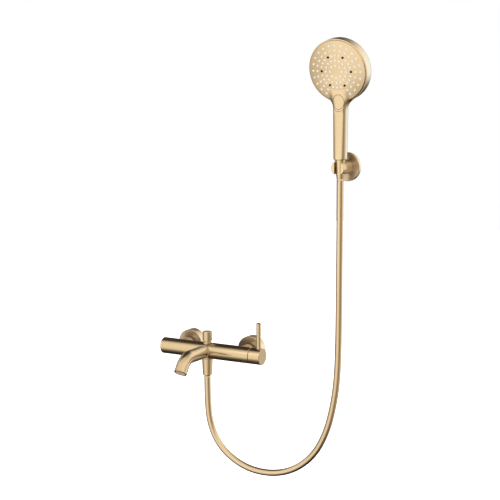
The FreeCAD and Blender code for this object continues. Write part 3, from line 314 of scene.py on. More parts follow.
def bridge_levels(bm, levels):
    """Bridge each level to the next and close the open ends."""
    for near, far in zip(levels, levels[1:]):
        bmesh.ops.bridge_loops(bm, edges=list(near | far))
    bmesh.ops.holes_fill(bm, edges=[e for e in bm.edges if e.is_boundary], sides=0)


levels = []
for z, radius, flat in handle_levels:
    turned = Matrix.Translation((socket.x, socket.y, z))
    made = bmesh.ops.create_circle(forms, segments=72, radius=radius, matrix=turned)["verts"]
    for vert in made:
        vert.co.y = socket.y - pressed(socket.y - vert.co.y, flat)
    levels.append({edge for vert in made for edge in vert.link_edges})
bridge_levels(forms, levels)
print("faces with the handle", len(forms.faces))

# %% [markdown]
# A tongue carries the mode button. It goes on from the handle's flat, gets slowly wider
# and bends forward until it lies on the spray face. At each height its front is the more
# forward of the flat and the face, taken softly, so that the two meet without an edge.
# Its flanks are steep at the handle and get shallow towards the face. The levels of the
# tongue are bridged like those of the handle.

# %% Bridge the tongue's levels
tongue_softness = 0.0012
tongue_foot, tongue_step, tongue_rows = 0.524, 0.003, 16
tongue_waist, tongue_half, tongue_spread = 0.530, 0.0110, 3.94
narrow_below, narrowing = 0.534, 0.14
flank_above, flank_slope = 0.535, 0.30
# How far each corner of the flank is out from the front's edge, and how deep behind it
flank_corners = [(0.0010, 0.0036), (0.0020, 0.0060)]
flank_end = (0.0024, 0.0120)


def face_front(z):
    """The depth of the spray face above or below its middle, at a height."""
    fall = 0.0
    for _ in range(3):
        up = (z - face_middle.z + face_out.z * fall) / face_up.z
        fall = dome_fall(abs(up))
    return face_middle.y + face_up.y * up - face_out.y * fall


def tongue_level(bm, z):
    """One level of the tongue; its edges come back as a set."""
    steps = [math.exp(-(y - ridge_y) / tongue_softness) for y in (ridge_y, face_front(z))]
    front = ridge_y - tongue_softness * math.log(sum(steps))
    half = tongue_half + tongue_spread * (z - tongue_waist) ** 2
    half -= narrowing * max(0.0, narrow_below - z)
    slope = half + flank_slope * max(0.0, z - flank_above)
    side = [(half, front)] + [(slope + out, front + deep) for out, deep in flank_corners]
    side.append((slope + flank_end[0], ridge_y + flank_end[1]))
    right = [bm.verts.new((socket.x + x, y, z)) for x, y in side]
    left = [bm.verts.new((socket.x - x, y, z)) for x, y in side]
    loop = right + left[::-1]
    return {bm.edges.new(pair) for pair in zip(loop, loop[1:] + loop[:1])}


tongue_levels = [tongue_level(forms, tongue_foot + tongue_step * i) for i in range(tongue_rows)]
bridge_levels(forms, tongue_levels)
print("faces with the tongue", len(forms.faces))

# %% [markdown]
# Behind the tongue the neck widens from the handle into the head in a hollow curve. Seen
# from the front, each level of the neck is an outline of two such curves, which touch the
# handle's side and a circle inside the head. A vertex at the foot of the curve is spun
# about the curve's own centre, which draws the curve. The other side is its mirror image.

# %% Draw the neck's outlines
# Depth behind the flat, half width of the handle, circle in the head, hollow curve
neck_levels = [
    (0.0052, 0.0146, 0.0600, 0.026), (0.0124, 0.0158, 0.0630, 0.024),
    (0.0228, 0.0109, 0.0600, 0.022),
]
neck_crest = 0.0387
crest_share = 0.35
hollow_steps = 14


def neck_outline(bm, depth, half, circle, hollow):
    """One closed outline of the neck; its edges come back as a set."""
    fall = math.sqrt((circle + hollow) ** 2 - (half + hollow) ** 2)
    middle = Vector((socket.x, ridge_y + depth, face_middle.z))
    foot = bm.verts.new(middle + Vector((half, 0.0, -fall)))
    center = middle + Vector((half + hollow, 0.0, -fall))
    swing = math.asin(fall / (circle + hollow))
    bmesh.ops.spin(
        bm, geom=[foot], cent=center, axis=(0.0, 1.0, 0.0), angle=swing, steps=hollow_steps,
    )
    right = [foot]
    while len(right) <= hollow_steps:
        beyond = [e.other_vert(right[-1]) for e in right[-1].link_edges]
        right.append([v for v in beyond if v not in right][0])
    crest = bm.verts.new(middle + Vector((circle * crest_share, 0.0, -neck_crest)))
    right.append(crest)
    left = [bm.verts.new((2 * socket.x - v.co.x, v.co.y, v.co.z)) for v in right]
    loop = right + left[::-1]
    edges = {e for v in loop for e in v.link_edges}
    edges |= {bm.edges.new(pair) for pair in zip(left, left[1:])}
    edges |= {bm.edges.new((right[-2], crest)), bm.edges.new((crest, left[-1]))}
    edges.add(bm.edges.new((left[0], foot)))
    return edges


outlines = [neck_outline(forms, *level) for level in neck_levels]
print("edges in an outline", [len(outline) for outline in outlines])

# %% Join the neck's outlines
bridge_levels(forms, outlines)
bmesh.ops.recalc_face_normals(forms, faces=forms.faces)
open_edges = sum(e.is_boundary for e in forms.edges)
print("faces of the forms", len(forms.faces), "open edges", open_edges)

# %% [markdown]
# The forms still overlap. A voxel remesh at 0.9 mm makes one closed skin of them. Its
# small steps are rubbed away by a few passes of smoothing over everything. The neck gets
# many more passes, over an area that shrinks from pass to pass, so that the rubbing fades
# out without an edge.

# %% Melt the forms into one skin
def with_modifiers(piece):
    """The mesh of a piece after its modifiers, as a new mesh."""
    depsgraph = bpy.context.evaluated_depsgraph_get()
    return bpy.data.meshes.new_from_object(piece.evaluated_get(depsgraph))


forms_piece = link_piece("casing_forms", forms)
melt = forms_piece.modifiers.new("melt", "REMESH")
melt.mode = "VOXEL"
melt.voxel_size = 0.0009
skin_mesh = with_modifiers(forms_piece)
bpy.data.objects.remove(forms_piece)
skin = bmesh.new()
skin.from_mesh(skin_mesh)
bpy.data.meshes.remove(skin_mesh)
print("faces of the skin", len(skin.faces))

# %% Rub the skin smooth
neck_middle = Vector((socket.x, ridge_y, 0.5580))
neck_passes = 60
first_reach, last_reach = 0.032, 0.022
neck_depth = 0.016


def rub(bm, verts):
    """Move each vertex half way to the middle of its neighbours."""
    bmesh.ops.smooth_vert(
        bm, verts=verts, factor=0.5, use_axis_x=True, use_axis_y=True, use_axis_z=True,
    )


for _ in range(3):
    rub(skin, skin.verts)
for i in range(neck_passes):
    reach = first_reach - (first_reach - last_reach) * i / neck_passes
    area = [
        v for v in skin.verts
        if abs(v.co.x - neck_middle.x) < reach and abs(v.co.z - neck_middle.z) < reach
        and v.co.y < ridge_y + neck_depth and (v.co - neck_middle).length < reach
    ]
    rub(skin, area)
casing = link_piece("hand_shower_casing", skin)
print("skin faces", len(casing.data.polygons), "rubbed at the neck", len(area))

# %% [markdown]
# The crisp head is joined to the skin first. The mode button is a piece of the result, so
# that it follows the neck's curve. An oval punch, a circle that is stretched and drawn out
# into a prism, cuts it. A boolean modifier keeps what lies inside the punch for the
# button. A slightly larger and deeper punch opens the casing, and the gap between the two
# is the thin line round the button.

# %% Cut out the mode button
def prism(name, wide, tall, near, far):
    """A closed oval prism along Y about the button's middle, between two depths."""
    bm = bmesh.new()
    upright = Matrix.Rotation(math.pi / 2, 4, "X")
    place = Matrix.Translation((socket.x, near, button_z))
    stretch = Matrix.Diagonal((wide, 1.0, tall, 1.0))
    bmesh.ops.create_circle(
        bm, segments=96, radius=1.0, cap_ends=True, matrix=place @ stretch @ upright,
    )
    drawn = bmesh.ops.extrude_face_region(bm, geom=list(bm.faces))
    ends = [v for v in drawn["geom"] if isinstance(v, bmesh.types.BMVert)]
    bmesh.ops.translate(bm, verts=ends, vec=(0.0, far - near, 0.0))
    bmesh.ops.recalc_face_normals(bm, faces=bm.faces)
    return link_piece(name, bm)


def cut(piece, tools, operation):
    """Apply boolean tools to a piece one after another, and remove them."""
    for tool in tools:
        step = piece.modifiers.new("cut", "BOOLEAN")
        step.operation = operation
        step.solver = "MANIFOLD"
        step.object = tool
        mesh = with_modifiers(piece)
        piece.modifiers.clear()
        old = piece.data
        piece.data = mesh
        bpy.data.meshes.remove(old)
        bpy.data.objects.remove(tool)


cut(casing, [head_piece], "UNION")
button = new_object("mode_button_cap", casing.data.copy())
button_wide, button_tall, button_thick = 0.0123, 0.0145, 0.0024
tongue_clear = ridge_y - 0.012
punch = prism("button_punch", button_wide, button_tall, tongue_clear, ridge_y + button_thick)
cut(button, [punch], "INTERSECT")
print("button faces", len(button.data.polygons), [round(v * 1000, 1) for v in button.dimensions])

# %% [markdown]
# Now the casing is opened. The button's well, the bore of the valve behind it and the
# bore of the handle are prisms and rods. The hollow of the head is a spun form that
# leaves a wall of 2.5 mm, and its front follows the dome. Two thin rings cut the seams:
# one goes round the spray face, the other is an arc below the button.

# %% Hollow the casing and cut its seams
def rod_tool(name, radius, start, end):
    """A closed rod between two points."""
    bm = bmesh.new()
    line = Vector(end) - Vector(start)
    turned = line.to_track_quat("Z", "Y").to_matrix().to_4x4()
    place = Matrix.Translation((Vector(start) + Vector(end)) / 2)
    bmesh.ops.create_cone(
        bm, cap_ends=True, segments=64, radius1=radius, radius2=radius,
        depth=line.length, matrix=place @ turned,
    )
    return link_piece(name, bm)


valve_y = ridge_y + 0.0143
valve_bore = 0.0068
button_gap, well_depth = 0.0008, 0.0052
face_wall = 0.0025
hollow_radius, hollow_end = 0.0598, -0.0325
hollow = bmesh.new()
inside = [(r, -face_wall - dome_fall(r)) for r in (0.0, 0.015, 0.030, 0.045, 0.055, hollow_radius)]
inside += [(hollow_radius, hollow_end), (0.0, hollow_end)]
spun(hollow, inside, face_middle, face_out, 96)
seam_ring = bmesh.new()
seam_profile = [(0.0623, -0.0085), (0.0627, -0.0085), (0.0627, -0.0110), (0.0623, -0.0110)]
spun(seam_ring, seam_profile + seam_profile[:1], face_middle, face_out, 128)
tools = [
    prism(
        "button_well", button_wide + button_gap, button_tall + button_gap,
        tongue_clear, ridge_y + well_depth,
    ),
    rod_tool(
        "valve_cross_bore", valve_bore, (socket.x, ridge_y, button_z), (socket.x, valve_y, button_z)
    ),
    rod_tool("valve_bore", valve_bore, (socket.x, valve_y, 0.527), (socket.x, valve_y, 0.568)),
    rod_tool("handle_bore", 0.0076, (socket.x, socket.y, 0.441), (socket.x, socket.y, 0.5323)),
    rod_tool("handle_recess", 0.0118, (socket.x, socket.y, 0.420), (socket.x, socket.y, 0.442)),
    link_piece("head_hollow", hollow),
    link_piece("face_seam", seam_ring),
]
cut(casing, tools, "DIFFERENCE")
print("casing faces", len(casing.data.polygons))

# %% Cut the seam below the button
arc_groove = bmesh.new()
arc_axis = Vector((socket.x, ridge_y, 0.5405))
corners = [(0.0138, -0.003), (0.0149, -0.003), (0.0149, 0.0040), (0.0138, 0.0040)]
row = [arc_groove.verts.new(arc_axis + Vector((r, d, 0.0))) for r, d in corners]
arc_groove.faces.new(row)
arc_angle = 104
arc_start = Matrix.Rotation(math.radians((180 - arc_angle) / 2), 4, "Y")
bmesh.ops.transform(
    arc_groove, matrix=Matrix.Translation(arc_axis) @ arc_start @ Matrix.Translation(-arc_axis),
    verts=arc_groove.verts,
)
bmesh.ops.spin(
    arc_groove, geom=list(arc_groove.verts) + list(arc_groove.edges) + list(arc_groove.faces),
    cent=arc_axis, axis=(0.0, 1.0, 0.0), angle=math.radians(arc_angle), steps=40,
)
bmesh.ops.recalc_face_normals(arc_groove, faces=arc_groove.faces)
cut(casing, [link_piece("tongue_seam", arc_groove)], "DIFFERENCE")
for piece in (casing, button):
    piece.data.shade_smooth()
    piece.data.set_sharp_from_angle(angle=math.radians(38))
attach(casing, "handset")
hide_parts("handset_shell", "face_cover")
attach(button, "mode_button")
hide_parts("select_button")
print("casing faces", len(casing.data.polygons), [round(v * 1000, 1) for v in casing.dimensions])

# %% [markdown]
# ## The soft nozzles
# The spray nozzles are the tips of one silicone mat that pokes through the face, so that
# lime can be rubbed off them with a thumb. Each tip is a short cone with a small bore.
# One cone is made per place with an operator, and its top face is inset and pushed in
# for the bore. Five rings hold them. Every fourth place on the third ring belongs to a
# larger jet, and the neck covers the lowest places of the outer rings. The mat behind
# them has a notch for the mode button.

# %% Set the nozzles on the face
face_side = Vector((1.0, 0.0, 0.0))
face_turn = Matrix((face_side, face_up, face_out)).transposed().to_4x4()
ring_counts = [8, 16, 24, 24, 24]
first_ring, ring_gap = 0.0126, 0.01005
# The jets stand on one ring, and the neck covers places from another ring outwards
jet_row, jet_every = 2, 4
covered_from, covered_angle = 3, 20.0


def bored_cone(bm, radius, angle, sunk, sides, foot, tip, height, lip, rim, deep):
    """A short cone with a bore in its top, at a place on the face."""
    place = face_middle + face_side * radius * math.cos(angle)
    place += face_up * radius * math.sin(angle)
    place += face_out * (-dome_fall(radius) - sunk)
    made = bmesh.ops.create_cone(
        bm, cap_ends=True, segments=sides, radius1=foot, radius2=tip, depth=height,
        matrix=Matrix.Translation(place) @ face_turn,
    )["verts"]
    faces = {face for vert in made for face in vert.link_faces}
    top = max(faces, key=lambda face: face.calc_center_median().dot(face_out))
    bmesh.ops.inset_region(bm, faces=[top], thickness=0.0003, depth=lip)
    bmesh.ops.inset_region(bm, faces=[top], thickness=rim)
    bmesh.ops.translate(bm, verts=top.verts, vec=face_out * -deep)


tips = bmesh.new()
placed = 0
for ring, count in enumerate(ring_counts):
    for k in range(count):
        from_bottom = abs((360.0 * k / count + 270.0) % 360.0 - 180.0)
        covered = ring >= covered_from and from_bottom < covered_angle
        if covered or (ring == jet_row and k % jet_every == 0):
            continue
        bored_cone(
            tips, first_ring + ring_gap * ring, 2 * math.pi * k / count, sunk=0.0009, sides=14,
            foot=0.0024, tip=0.0020, height=0.0044, lip=0.0002, rim=0.0011, deep=0.0010,
        )
        placed += 1
mat_front, mat_back = 0.0025, 0.0050
mat = [(r, -mat_front - dome_fall(r)) for r in (0.0, 0.030, 0.057)]
mat += [(r, -mat_back - dome_fall(r)) for r in (0.057, 0.030, 0.0)]
mat_piece = link_piece("mat_disc", spun(bmesh.new(), mat, face_middle, face_out, 64))
notch_wide, notch_tall, notch_end = 0.0145, 0.0168, ridge_y + 0.016
notch = prism("mat_notch", notch_wide, notch_tall, tongue_clear, notch_end)
cut(mat_piece, [notch], "DIFFERENCE")
tips.from_mesh(mat_piece.data)
bpy.data.objects.remove(mat_piece)
nozzles = link_piece("soft_nozzles", tips)
nozzles.data.set_sharp_from_angle(angle=math.radians(50))
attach(nozzles, "handset")
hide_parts("nozzle_mat")
print("nozzles", placed, "faces", len(nozzles.data.polygons))

# %% [markdown]
# The six larger jets are dark inserts. Each has a collar that stands a little proud of
# the face, and its bore is pushed in from the top, so that it stays dark inside.

# %% Set the jets on the face
jet_forms = bmesh.new()
jet_ring = 0.0327
jet_count = ring_counts[jet_row] // jet_every
for k in range(jet_count):
    bored_cone(
        jet_forms, jet_ring, 2 * math.pi * k / jet_count, sunk=0.0004, sides=24,
        foot=0.0025, tip=0.0024, height=0.0022, lip=0.0001, rim=0.0010, deep=0.0005,
    )
jets = link_piece("dark_jets", jet_forms)
jets.data.set_sharp_from_angle(angle=math.radians(50))
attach(jets, "handset")
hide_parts("jet_nozzles")
print("jet faces", len(jets.data.polygons))

# %% [markdown]
# ## The hose's sleeve
# Under the conical nut the hose wears a short tapered sleeve, which takes the strain
# where the nut ends. It is turned, so a closed profile is spun round the hose's line.

# %% Spin the sleeve
nut_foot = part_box("cone_nut")[0][2]
sleeve_length = 0.0090
sleeve_inside, sleeve_outside = 0.0068, 0.0084
sleeve_top = nut_foot - 0.0001
sleeve_profile = [
    (sleeve_inside, nut_foot - sleeve_length), (sleeve_outside, sleeve_top),
    (sleeve_inside, sleeve_top), (sleeve_inside, nut_foot - sleeve_length),
]
sleeve_axis = Vector((socket.x, socket.y, 0.0))
sleeve = link_piece(
    "hose_sleeve", spun(bmesh.new(), sleeve_profile, sleeve_axis, Vector((0.0, 0.0, 1.0)), 48)
)
sleeve.data.set_sharp_from_angle(angle=math.radians(40))
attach(sleeve, "hose_end")
print("sleeve from", round(nut_foot - sleeve_length, 4), "to", round(nut_foot, 4))

# %% [markdown]
# ## The wall unions' threads
# Each union is screwed into the wall by a pipe thread with 14 turns to the inch, and it
# shows from behind. The solid model has a plain cylinder there. A triangle spun about
# the union's axis, with a small shift along it at each step of the spin, becomes a
# helical tool, and a boolean cuts its groove into a copy of the union.

# %% Cut the wall threads
def clean_copy(node_name, piece_name):
    """A copy of a solid node as a piece of its own, with its loose triangles merged."""
    bm = bmesh.new()
    bm.from_mesh(nodes[node_name].data)
    bmesh.ops.remove_doubles(bm, verts=bm.verts, dist=1e-6)
    return link_piece(piece_name, bm)


thread_pitch = 0.001814
thread_radius = 0.01048
thread_crest, thread_root = thread_radius + 0.0004, thread_radius - 0.0009
groove_width = 0.0015
thread_start, thread_turns, turn_steps = 0.0022, 9, 40
supply_x = 0.075


def thread_tool(name, x, start, turns):
    """A helical groove tool about an axis along Y."""
    bm = bmesh.new()
    center = Vector((x, start, 0.0))
    points = [(thread_crest, 0.0), (thread_crest, groove_width), (thread_root, groove_width / 2)]
    row = [bm.verts.new(center + Vector((r, h, 0.0))) for r, h in points]
    face = bm.faces.new(row)
    bmesh.ops.spin(
        bm, geom=row + list(face.edges) + [face], cent=center, axis=(0.0, 1.0, 0.0),
        dvec=(0.0, thread_pitch / turn_steps, 0.0), angle=2 * math.pi * turns,
        steps=turn_steps * turns,
    )
    bmesh.ops.recalc_face_normals(bm, faces=bm.faces)
    return link_piece(name, bm)


for node_name, x in (("union_hot", -supply_x), ("union_cold", supply_x)):
    union = clean_copy(node_name, node_name + "_threaded")
    cut(union, [thread_tool("thread_tool", x, thread_start, thread_turns)], "DIFFERENCE")
    union.data.shade_smooth()
    union.data.set_sharp_from_angle(angle=math.radians(30))
    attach(union, "fixed_set")
    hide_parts(node_name)
    print(union.name, "faces", len(union.data.polygons))

# %% [markdown]
# ## The button's spring
# The spring behind the mode button gets shorter as the button goes in. A merged copy with
# a mesh of its own takes the solid spring's place and moves with the hand shower.

# %% Copy the spring
spring = clean_copy("button_spring", "mode_spring")
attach(spring, "handset")
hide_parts("button_spring")
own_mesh(spring)

# %% [markdown]
# ## Light and surroundings
# Satin gold shows its surroundings more than itself, so the surroundings are designed
# first. A photographer puts a broad white sheet in front of such metal and leaves the
# room behind it dark, because the dark parts draw the edges of the round shapes. Here
# the world's colour for reflections depends on the direction. Five rings of light go
# once round the set, one above the other. In the ring at the horizon, a dark strip to the
# right of the camera draws the upright round parts. The ring just above it lights the
# flat tops of the knob and the pin. The high ring has no such strip, the ring below the
# horizon is darker behind on the right, and the one overhead is dark behind on the left.

# %% Note the light round the set
# Each stop is a direction in degrees from the front, positive to the right, then a level
# and a warmth, which is negative for cool light
low_round = [
    (-180, 0.35, 0.0), (-165, 0.22, 0.0), (-150, 0.10, 0.0), (-120, 0.12, 0.0),
    (-95, 0.20, 0.1), (-70, 0.40, 0.2), (-55, 0.57, 0.2), (-45, 0.69, 0.2), (-37, 0.87, 0.1),
    (-29, 0.99, 0.0), (5, 0.97, 0.0), (25, 0.76, 0.4), (42, 0.46, 0.8), (60, 0.29, 1.0),
    (82, 0.31, 1.0), (100, 0.52, 0.4), (120, 0.88, 0.0), (145, 1.05, -0.4), (165, 0.95, -0.4),
    (180, 0.35, 0.0),
]
under_round = [(-180, 0.05, 0.3), (-165, 0.04, 0.3)] + low_round[2:15] + [
    (82, 0.34, 1.0), (100, 0.50, 0.8), (120, 0.60, 0.6), (145, 0.48, 0.5), (160, 0.42, 0.4),
    (173, 0.12, 0.3), (180, 0.05, 0.3),
]
rising_round = [
    (-180, 0.50, 0.0), (-165, 0.55, 0.0), (-150, 0.55, 0.0), (-138, 0.45, 0.0),
    (-122, 0.20, 0.1),
] + low_round[4:]
high_round = [
    (-180, 0.70, 0.0), (-165, 0.24, 0.0), (-150, 0.04, 0.5), (-132, 0.07, 0.5),
    (-116, 0.44, 0.3), (-95, 0.62, 0.2), (-70, 0.72, 0.2), (-53, 0.82, 0.1), (-42, 0.92, 0.0),
    (-28, 1.0, 0.0), (5, 1.0, 0.0), (50, 1.0, 0.0), (90, 1.0, 0.0), (130, 1.0, 0.0),
    (165, 1.0, -0.2), (180, 0.75, 0.0),
]
over_round = [
    (-180, 0.02, 1.0), (-106, 0.02, 1.0), (-88, 0.03, 0.8), (-77, 0.10, 0.5),
    (-66, 0.34, 0.2), (-55, 0.66, 0.1), (-40, 0.88, 0.0), (60, 0.88, 0.0), (120, 0.60, 0.0),
    (180, 0.10, 0.5),
]
# Each of these rings takes over between two heights on the unit sphere
ring_stack = [
    (under_round, -0.14, -0.38), (rising_round, 0.0, 0.12), (high_round, 0.14, 0.35),
    (over_round, 0.62, 0.82),
]
# Each stop is a height on the unit sphere, from -1 below to 1 above, a level and a warmth
height_levels = [
    (-1.0, 0.04, 0.5), (-0.87, 0.11, 0.5), (-0.66, 0.40, 0.3), (-0.45, 0.86, 0.0),
    (-0.28, 0.97, 0.0), (0.0, 1.0, 0.0), (0.53, 0.98, 0.0), (0.86, 0.90, 0.0),
    (1.0, 0.80, 0.0),
]
print("rings of light", 1 + len(ring_stack), "stops upwards", len(height_levels))

# %% [markdown]
# Light and finishes are both written as nodes. A few helpers keep that short: one feeds a
# node's inputs with plain values or with links, and one each makes the kinds of node that
# come back often.

# %% Make the node helpers
def feed(tree, node, inputs):
    """Give a node's inputs their values, or links where the value is a socket."""
    for name, value in inputs.items():
        if isinstance(value, bpy.types.NodeSocket):
            tree.links.new(value, node.inputs[name])
        else:
            node.inputs[name].default_value = value
    return node


def add_node(tree, kind, inputs):
    """A new node of a kind with its inputs fed."""
    return feed(tree, tree.nodes.new(kind), inputs)


def worked_out(tree, operation, *values):
    """The result of a math node."""
    node = tree.nodes.new("ShaderNodeMath")
    node.operation = operation
    return feed(tree, node, dict(enumerate(values))).outputs[0]


def mapped(tree, value, span, result=(0.0, 1.0), way="LINEAR"):
    """A value that goes through the result's range while another goes through a span."""
    inputs = {"Value": value, "From Min": span[0], "From Max": span[1]}
    node = add_node(tree, "ShaderNodeMapRange", inputs)
    node.interpolation_type = way
    return feed(tree, node, {"To Min": result[0], "To Max": result[1]}).outputs["Result"]


def mixed(tree, share, near, beyond, way="MIX"):
    """The colour of a mix node."""
    node = tree.nodes.new("ShaderNodeMix")
    node.data_type = "RGBA"
    node.blend_type = way
    return feed(tree, node, {"Factor": share, "A": near, "B": beyond}).outputs["Result"]


def noise(tree, vector, scale, detail):
    """The value of a noise texture."""
    inputs = {"Vector": vector, "Scale": scale, "Detail": detail}
    return add_node(tree, "ShaderNodeTexNoise", inputs).outputs["Fac"]


# %% [markdown]
# The direction of a ray is split into a bearing round the set and a height. Each ring is
# a colour ramp along the bearing, and the height mixes one ring into the next. A last
# ramp goes from the floor to the ceiling, and its level multiplies the rings.

# %% Light the scene
scene = bpy.context.scene
scene.view_settings.view_transform = "Standard"

world = bpy.data.worlds.new("studio")
scene.world = world
world.use_nodes = True
tree = world.node_tree
tree.nodes.clear()


def level_ramp(stops, share):
    """The colour of a ramp with a grey at each stop, made warmer or cooler."""
    ramp = add_node(tree, "ShaderNodeValToRGB", {"Fac": share})
    ramp.color_ramp.interpolation = "EASE"
    elements = ramp.color_ramp.elements
    while len(elements) < len(stops):
        elements.new(0.5)
    for element, (place, grey, warmth) in zip(elements, stops):
        element.position = place
        element.color = (grey, grey * (1.0 - 0.12 * warmth), grey * (1.0 - 0.32 * warmth), 1.0)
    return ramp.outputs["Color"]


direction = add_node(tree, "ShaderNodeTexCoord", {}).outputs["Generated"]
parts = add_node(tree, "ShaderNodeSeparateXYZ", {0: direction})
ahead = worked_out(tree, "MULTIPLY", parts.outputs["Y"], -1.0)
bearing = worked_out(tree, "ARCTAN2", parts.outputs["X"], ahead)
turn_share = mapped(tree, bearing, (-math.pi, math.pi))
rise_share = mapped(tree, parts.outputs["Z"], (-1.0, 1.0))


def ring_of_light(stops):
    """The colour of a ramp that goes once round the set."""
    return level_ramp([((stop[0] + 180) / 360, *stop[1:]) for stop in stops], turn_share)


around = ring_of_light(low_round)
for stops, start, end in ring_stack:
    share = mapped(tree, parts.outputs["Z"], (start, end), way="SMOOTHSTEP")
    around = mixed(tree, share, around, ring_of_light(stops))
upwards = level_ramp([((stop[0] + 1) / 2, *stop[1:]) for stop in height_levels], rise_share)
studio_colour = mixed(tree, 1.0, around, upwards, "MULTIPLY")
print("nodes of the studio", len(tree.nodes))

# %% [markdown]
# One background holds that studio for the rays that metal sends out. A second one is
# plain white for the camera, for glass and for matt surfaces. Light Path tells which
# kind of ray asks. Two lamps soften the matt surfaces. A small white card below and in
# front of the head brightens the lower half of the spray face, which leans down.

# %% Choose what each kind of ray sees
white = (1.0, 1.0, 1.0, 1.0)
rays = add_node(tree, "ShaderNodeLightPath", {})
dimmer = mapped(tree, rays.outputs["Is Diffuse Ray"], (0.0, 1.0), (1.0, 0.7))
plain = add_node(tree, "ShaderNodeBackground", {"Color": white, "Strength": dimmer})
studio = add_node(tree, "ShaderNodeBackground", {"Color": studio_colour})
choice = add_node(
    tree, "ShaderNodeMixShader",
    {"Fac": rays.outputs["Is Glossy Ray"], 1: plain.outputs[0], 2: studio.outputs[0]},
)
add_node(tree, "ShaderNodeOutputWorld", {"Surface": choice.outputs[0]})


def soft_light(name, place, aim, size, power):
    """A square soft lamp that points at a place and leaves no spot in reflections."""
    data = bpy.data.lights.new(name, "AREA")
    data.shape = "SQUARE"
    data.size = size
    data.energy = power
    lamp = new_object(name, data)
    facing = (Vector(aim) - Vector(place)).to_track_quat("-Z", "Y")
    lamp.matrix_world = Matrix.Translation(place) @ facing.to_matrix().to_4x4()
    lamp.visible_glossy = False
    return lamp


middle = (0.15, 0.0, 0.2)
key = soft_light("key_lamp", (-1.8, -2.4, 2.2), middle, 1.6, 30.0)
fill = soft_light("fill_lamp", (2.6, -1.6, 1.0), middle, 1.6, 14.0)
card = soft_light("white_card", (0.02, -0.42, 0.23), tuple(face_middle), 0.34, 0.10)
card.visible_glossy = True
card.visible_camera = False
print("lamps", key.data.energy, fill.data.energy, card.data.energy)

# %% [markdown]
# The floor lies under the hose's loop. It is pale, it catches the set's soft shadow, and
# reflections don't see it, so that the studio's dark lower part stays in the metal.

# %% Lay the floor
floor_level = -0.6
bm = bmesh.new()
bmesh.ops.create_grid(bm, x_segments=1, y_segments=1, size=6.0)
bmesh.ops.translate(bm, verts=bm.verts, vec=(0.0, 0.0, floor_level))
floor = link_piece("floor", bm)
floor_material = bpy.data.materials.new("pale_floor")
floor_material.use_nodes = True
floor_tree = floor_material.node_tree
floor_rays = add_node(floor_tree, "ShaderNodeLightPath", {})
feed(floor_tree, floor_tree.nodes["Principled BSDF"], {
    "Base Color": (0.9, 0.9, 0.9, 1.0), "Roughness": 0.9, "Emission Color": white,
    "Emission Strength": floor_rays.outputs["Is Camera Ray"],
})
floor.data.materials.append(floor_material)
floor.visible_glossy = False
print("floor at", floor_level)

# %% [markdown]
# ## Effects that the finishes share
# Brushed metal is covered with fine parallel scratches. Two bands of noise, stretched
# along the direction of brushing, stand for them: a fine one for the scratches and a
# broad one for the slight cloudiness between strokes. The effect is a node group, so
# that every metal on the set uses the same recipe with its own direction and depth.

# %% Make the brushing group
def new_group(name, inputs, outputs):
    """An empty shader node group with its sockets."""
    group = bpy.data.node_groups.new(name, "ShaderNodeTree")
    for socket_name, kind, value in inputs:
        made = group.interface.new_socket(socket_name, in_out="INPUT", socket_type=kind)
        if value is not None:
            made.default_value = value
    for socket_name, kind in outputs:
        group.interface.new_socket(socket_name, in_out="OUTPUT", socket_type=kind)
    return group, group.nodes.new("NodeGroupInput"), group.nodes.new("NodeGroupOutput")


brushing, g_in, g_out = new_group(
    "brushing",
    [
        ("Vector", "NodeSocketVector", None),
        ("Roughness", "NodeSocketFloat", 0.26),
        ("Variation", "NodeSocketFloat", 0.06),
    ],
    [("Roughness", "NodeSocketFloat"), ("Height", "NodeSocketFloat")],
)
fine = noise(brushing, g_in.outputs["Vector"], 1.0, 4.0)
broad = noise(brushing, g_in.outputs["Vector"], 0.12, 2.0)
blend = worked_out(brushing, "ADD", fine, broad)
centred = worked_out(brushing, "SUBTRACT", blend, 1.0)
scaled = worked_out(
    brushing, "MULTIPLY_ADD", centred, g_in.outputs["Variation"], g_in.outputs["Roughness"]
)
feed(brushing, g_out, {"Roughness": scaled, "Height": fine})
print("nodes of the brushing", len(brushing.nodes))

# %% [markdown]
# Nothing in use stays evenly clean. A second group makes a very weak, soft cloud, as
# from dried water and wiping, which lightens and dulls a finish in places. It is kept
# so weak that it is felt rather than seen.

# %% Make the water haze group
haze, h_in, h_out = new_group(
    "water_haze",
    [
        ("Vector", "NodeSocketVector", None),
        ("Color", "NodeSocketColor", (0.8, 0.6, 0.35, 1.0)),
        ("Amount", "NodeSocketFloat", 0.06),
    ],
    [("Color", "NodeSocketColor"), ("Mask", "NodeSocketFloat")],
)
dried_water = (0.93, 0.86, 0.74, 1.0)
cloud = noise(haze, h_in.outputs["Vector"], 38.0, 5.0)
soft = mapped(haze, cloud, (0.45, 0.75), way="SMOOTHSTEP")
weighed = worked_out(haze, "MULTIPLY", soft, h_in.outputs["Amount"])
tinted = mixed(haze, weighed, h_in.outputs["Color"], dried_water)
feed(haze, h_out, {"Color": tinted, "Mask": weighed})
print("nodes of the haze", len(haze.nodes))

# %% [markdown]
# ## The finishes
# The whole set has a satin champagne gold plating. On each piece the brushing runs the
# way that the piece was made: along the bar, round the turned knobs, up the pin.
# The material is written once as a function that takes the direction of brushing, and
# each direction becomes its own material. Gold that reflects gold would turn orange, so
# the second reflection uses a paler colour. Light and shade are also painted into the
# colour by the way a surface faces: a painted shade darkens the fronts of the wall discs,
# the tops of the bar and the hub and the hub's end, and a painted highlight makes the
# right side of the discs' edges creamier.

# %% Mix the gold plating
champagne = (0.87, 0.65, 0.37, 1.0)
# Painted shade for the fronts of the wall discs
painted_shade_champagne = (0.66, 0.485, 0.31, 1.0)
# Painted highlight for the right sides of the discs' edges and of the casing
painted_light_champagne = (0.95, 0.82, 0.58, 1.0)
# Painted shade for the tops of the bar and the hub
bar_top_painted_shade = (0.60, 0.42, 0.24, 1.0)
# Painted shade for the hub's end
hub_end_painted_shade = (0.62, 0.43, 0.24, 1.0)
bounce_tone = (0.60, 0.53, 0.43, 1.0)


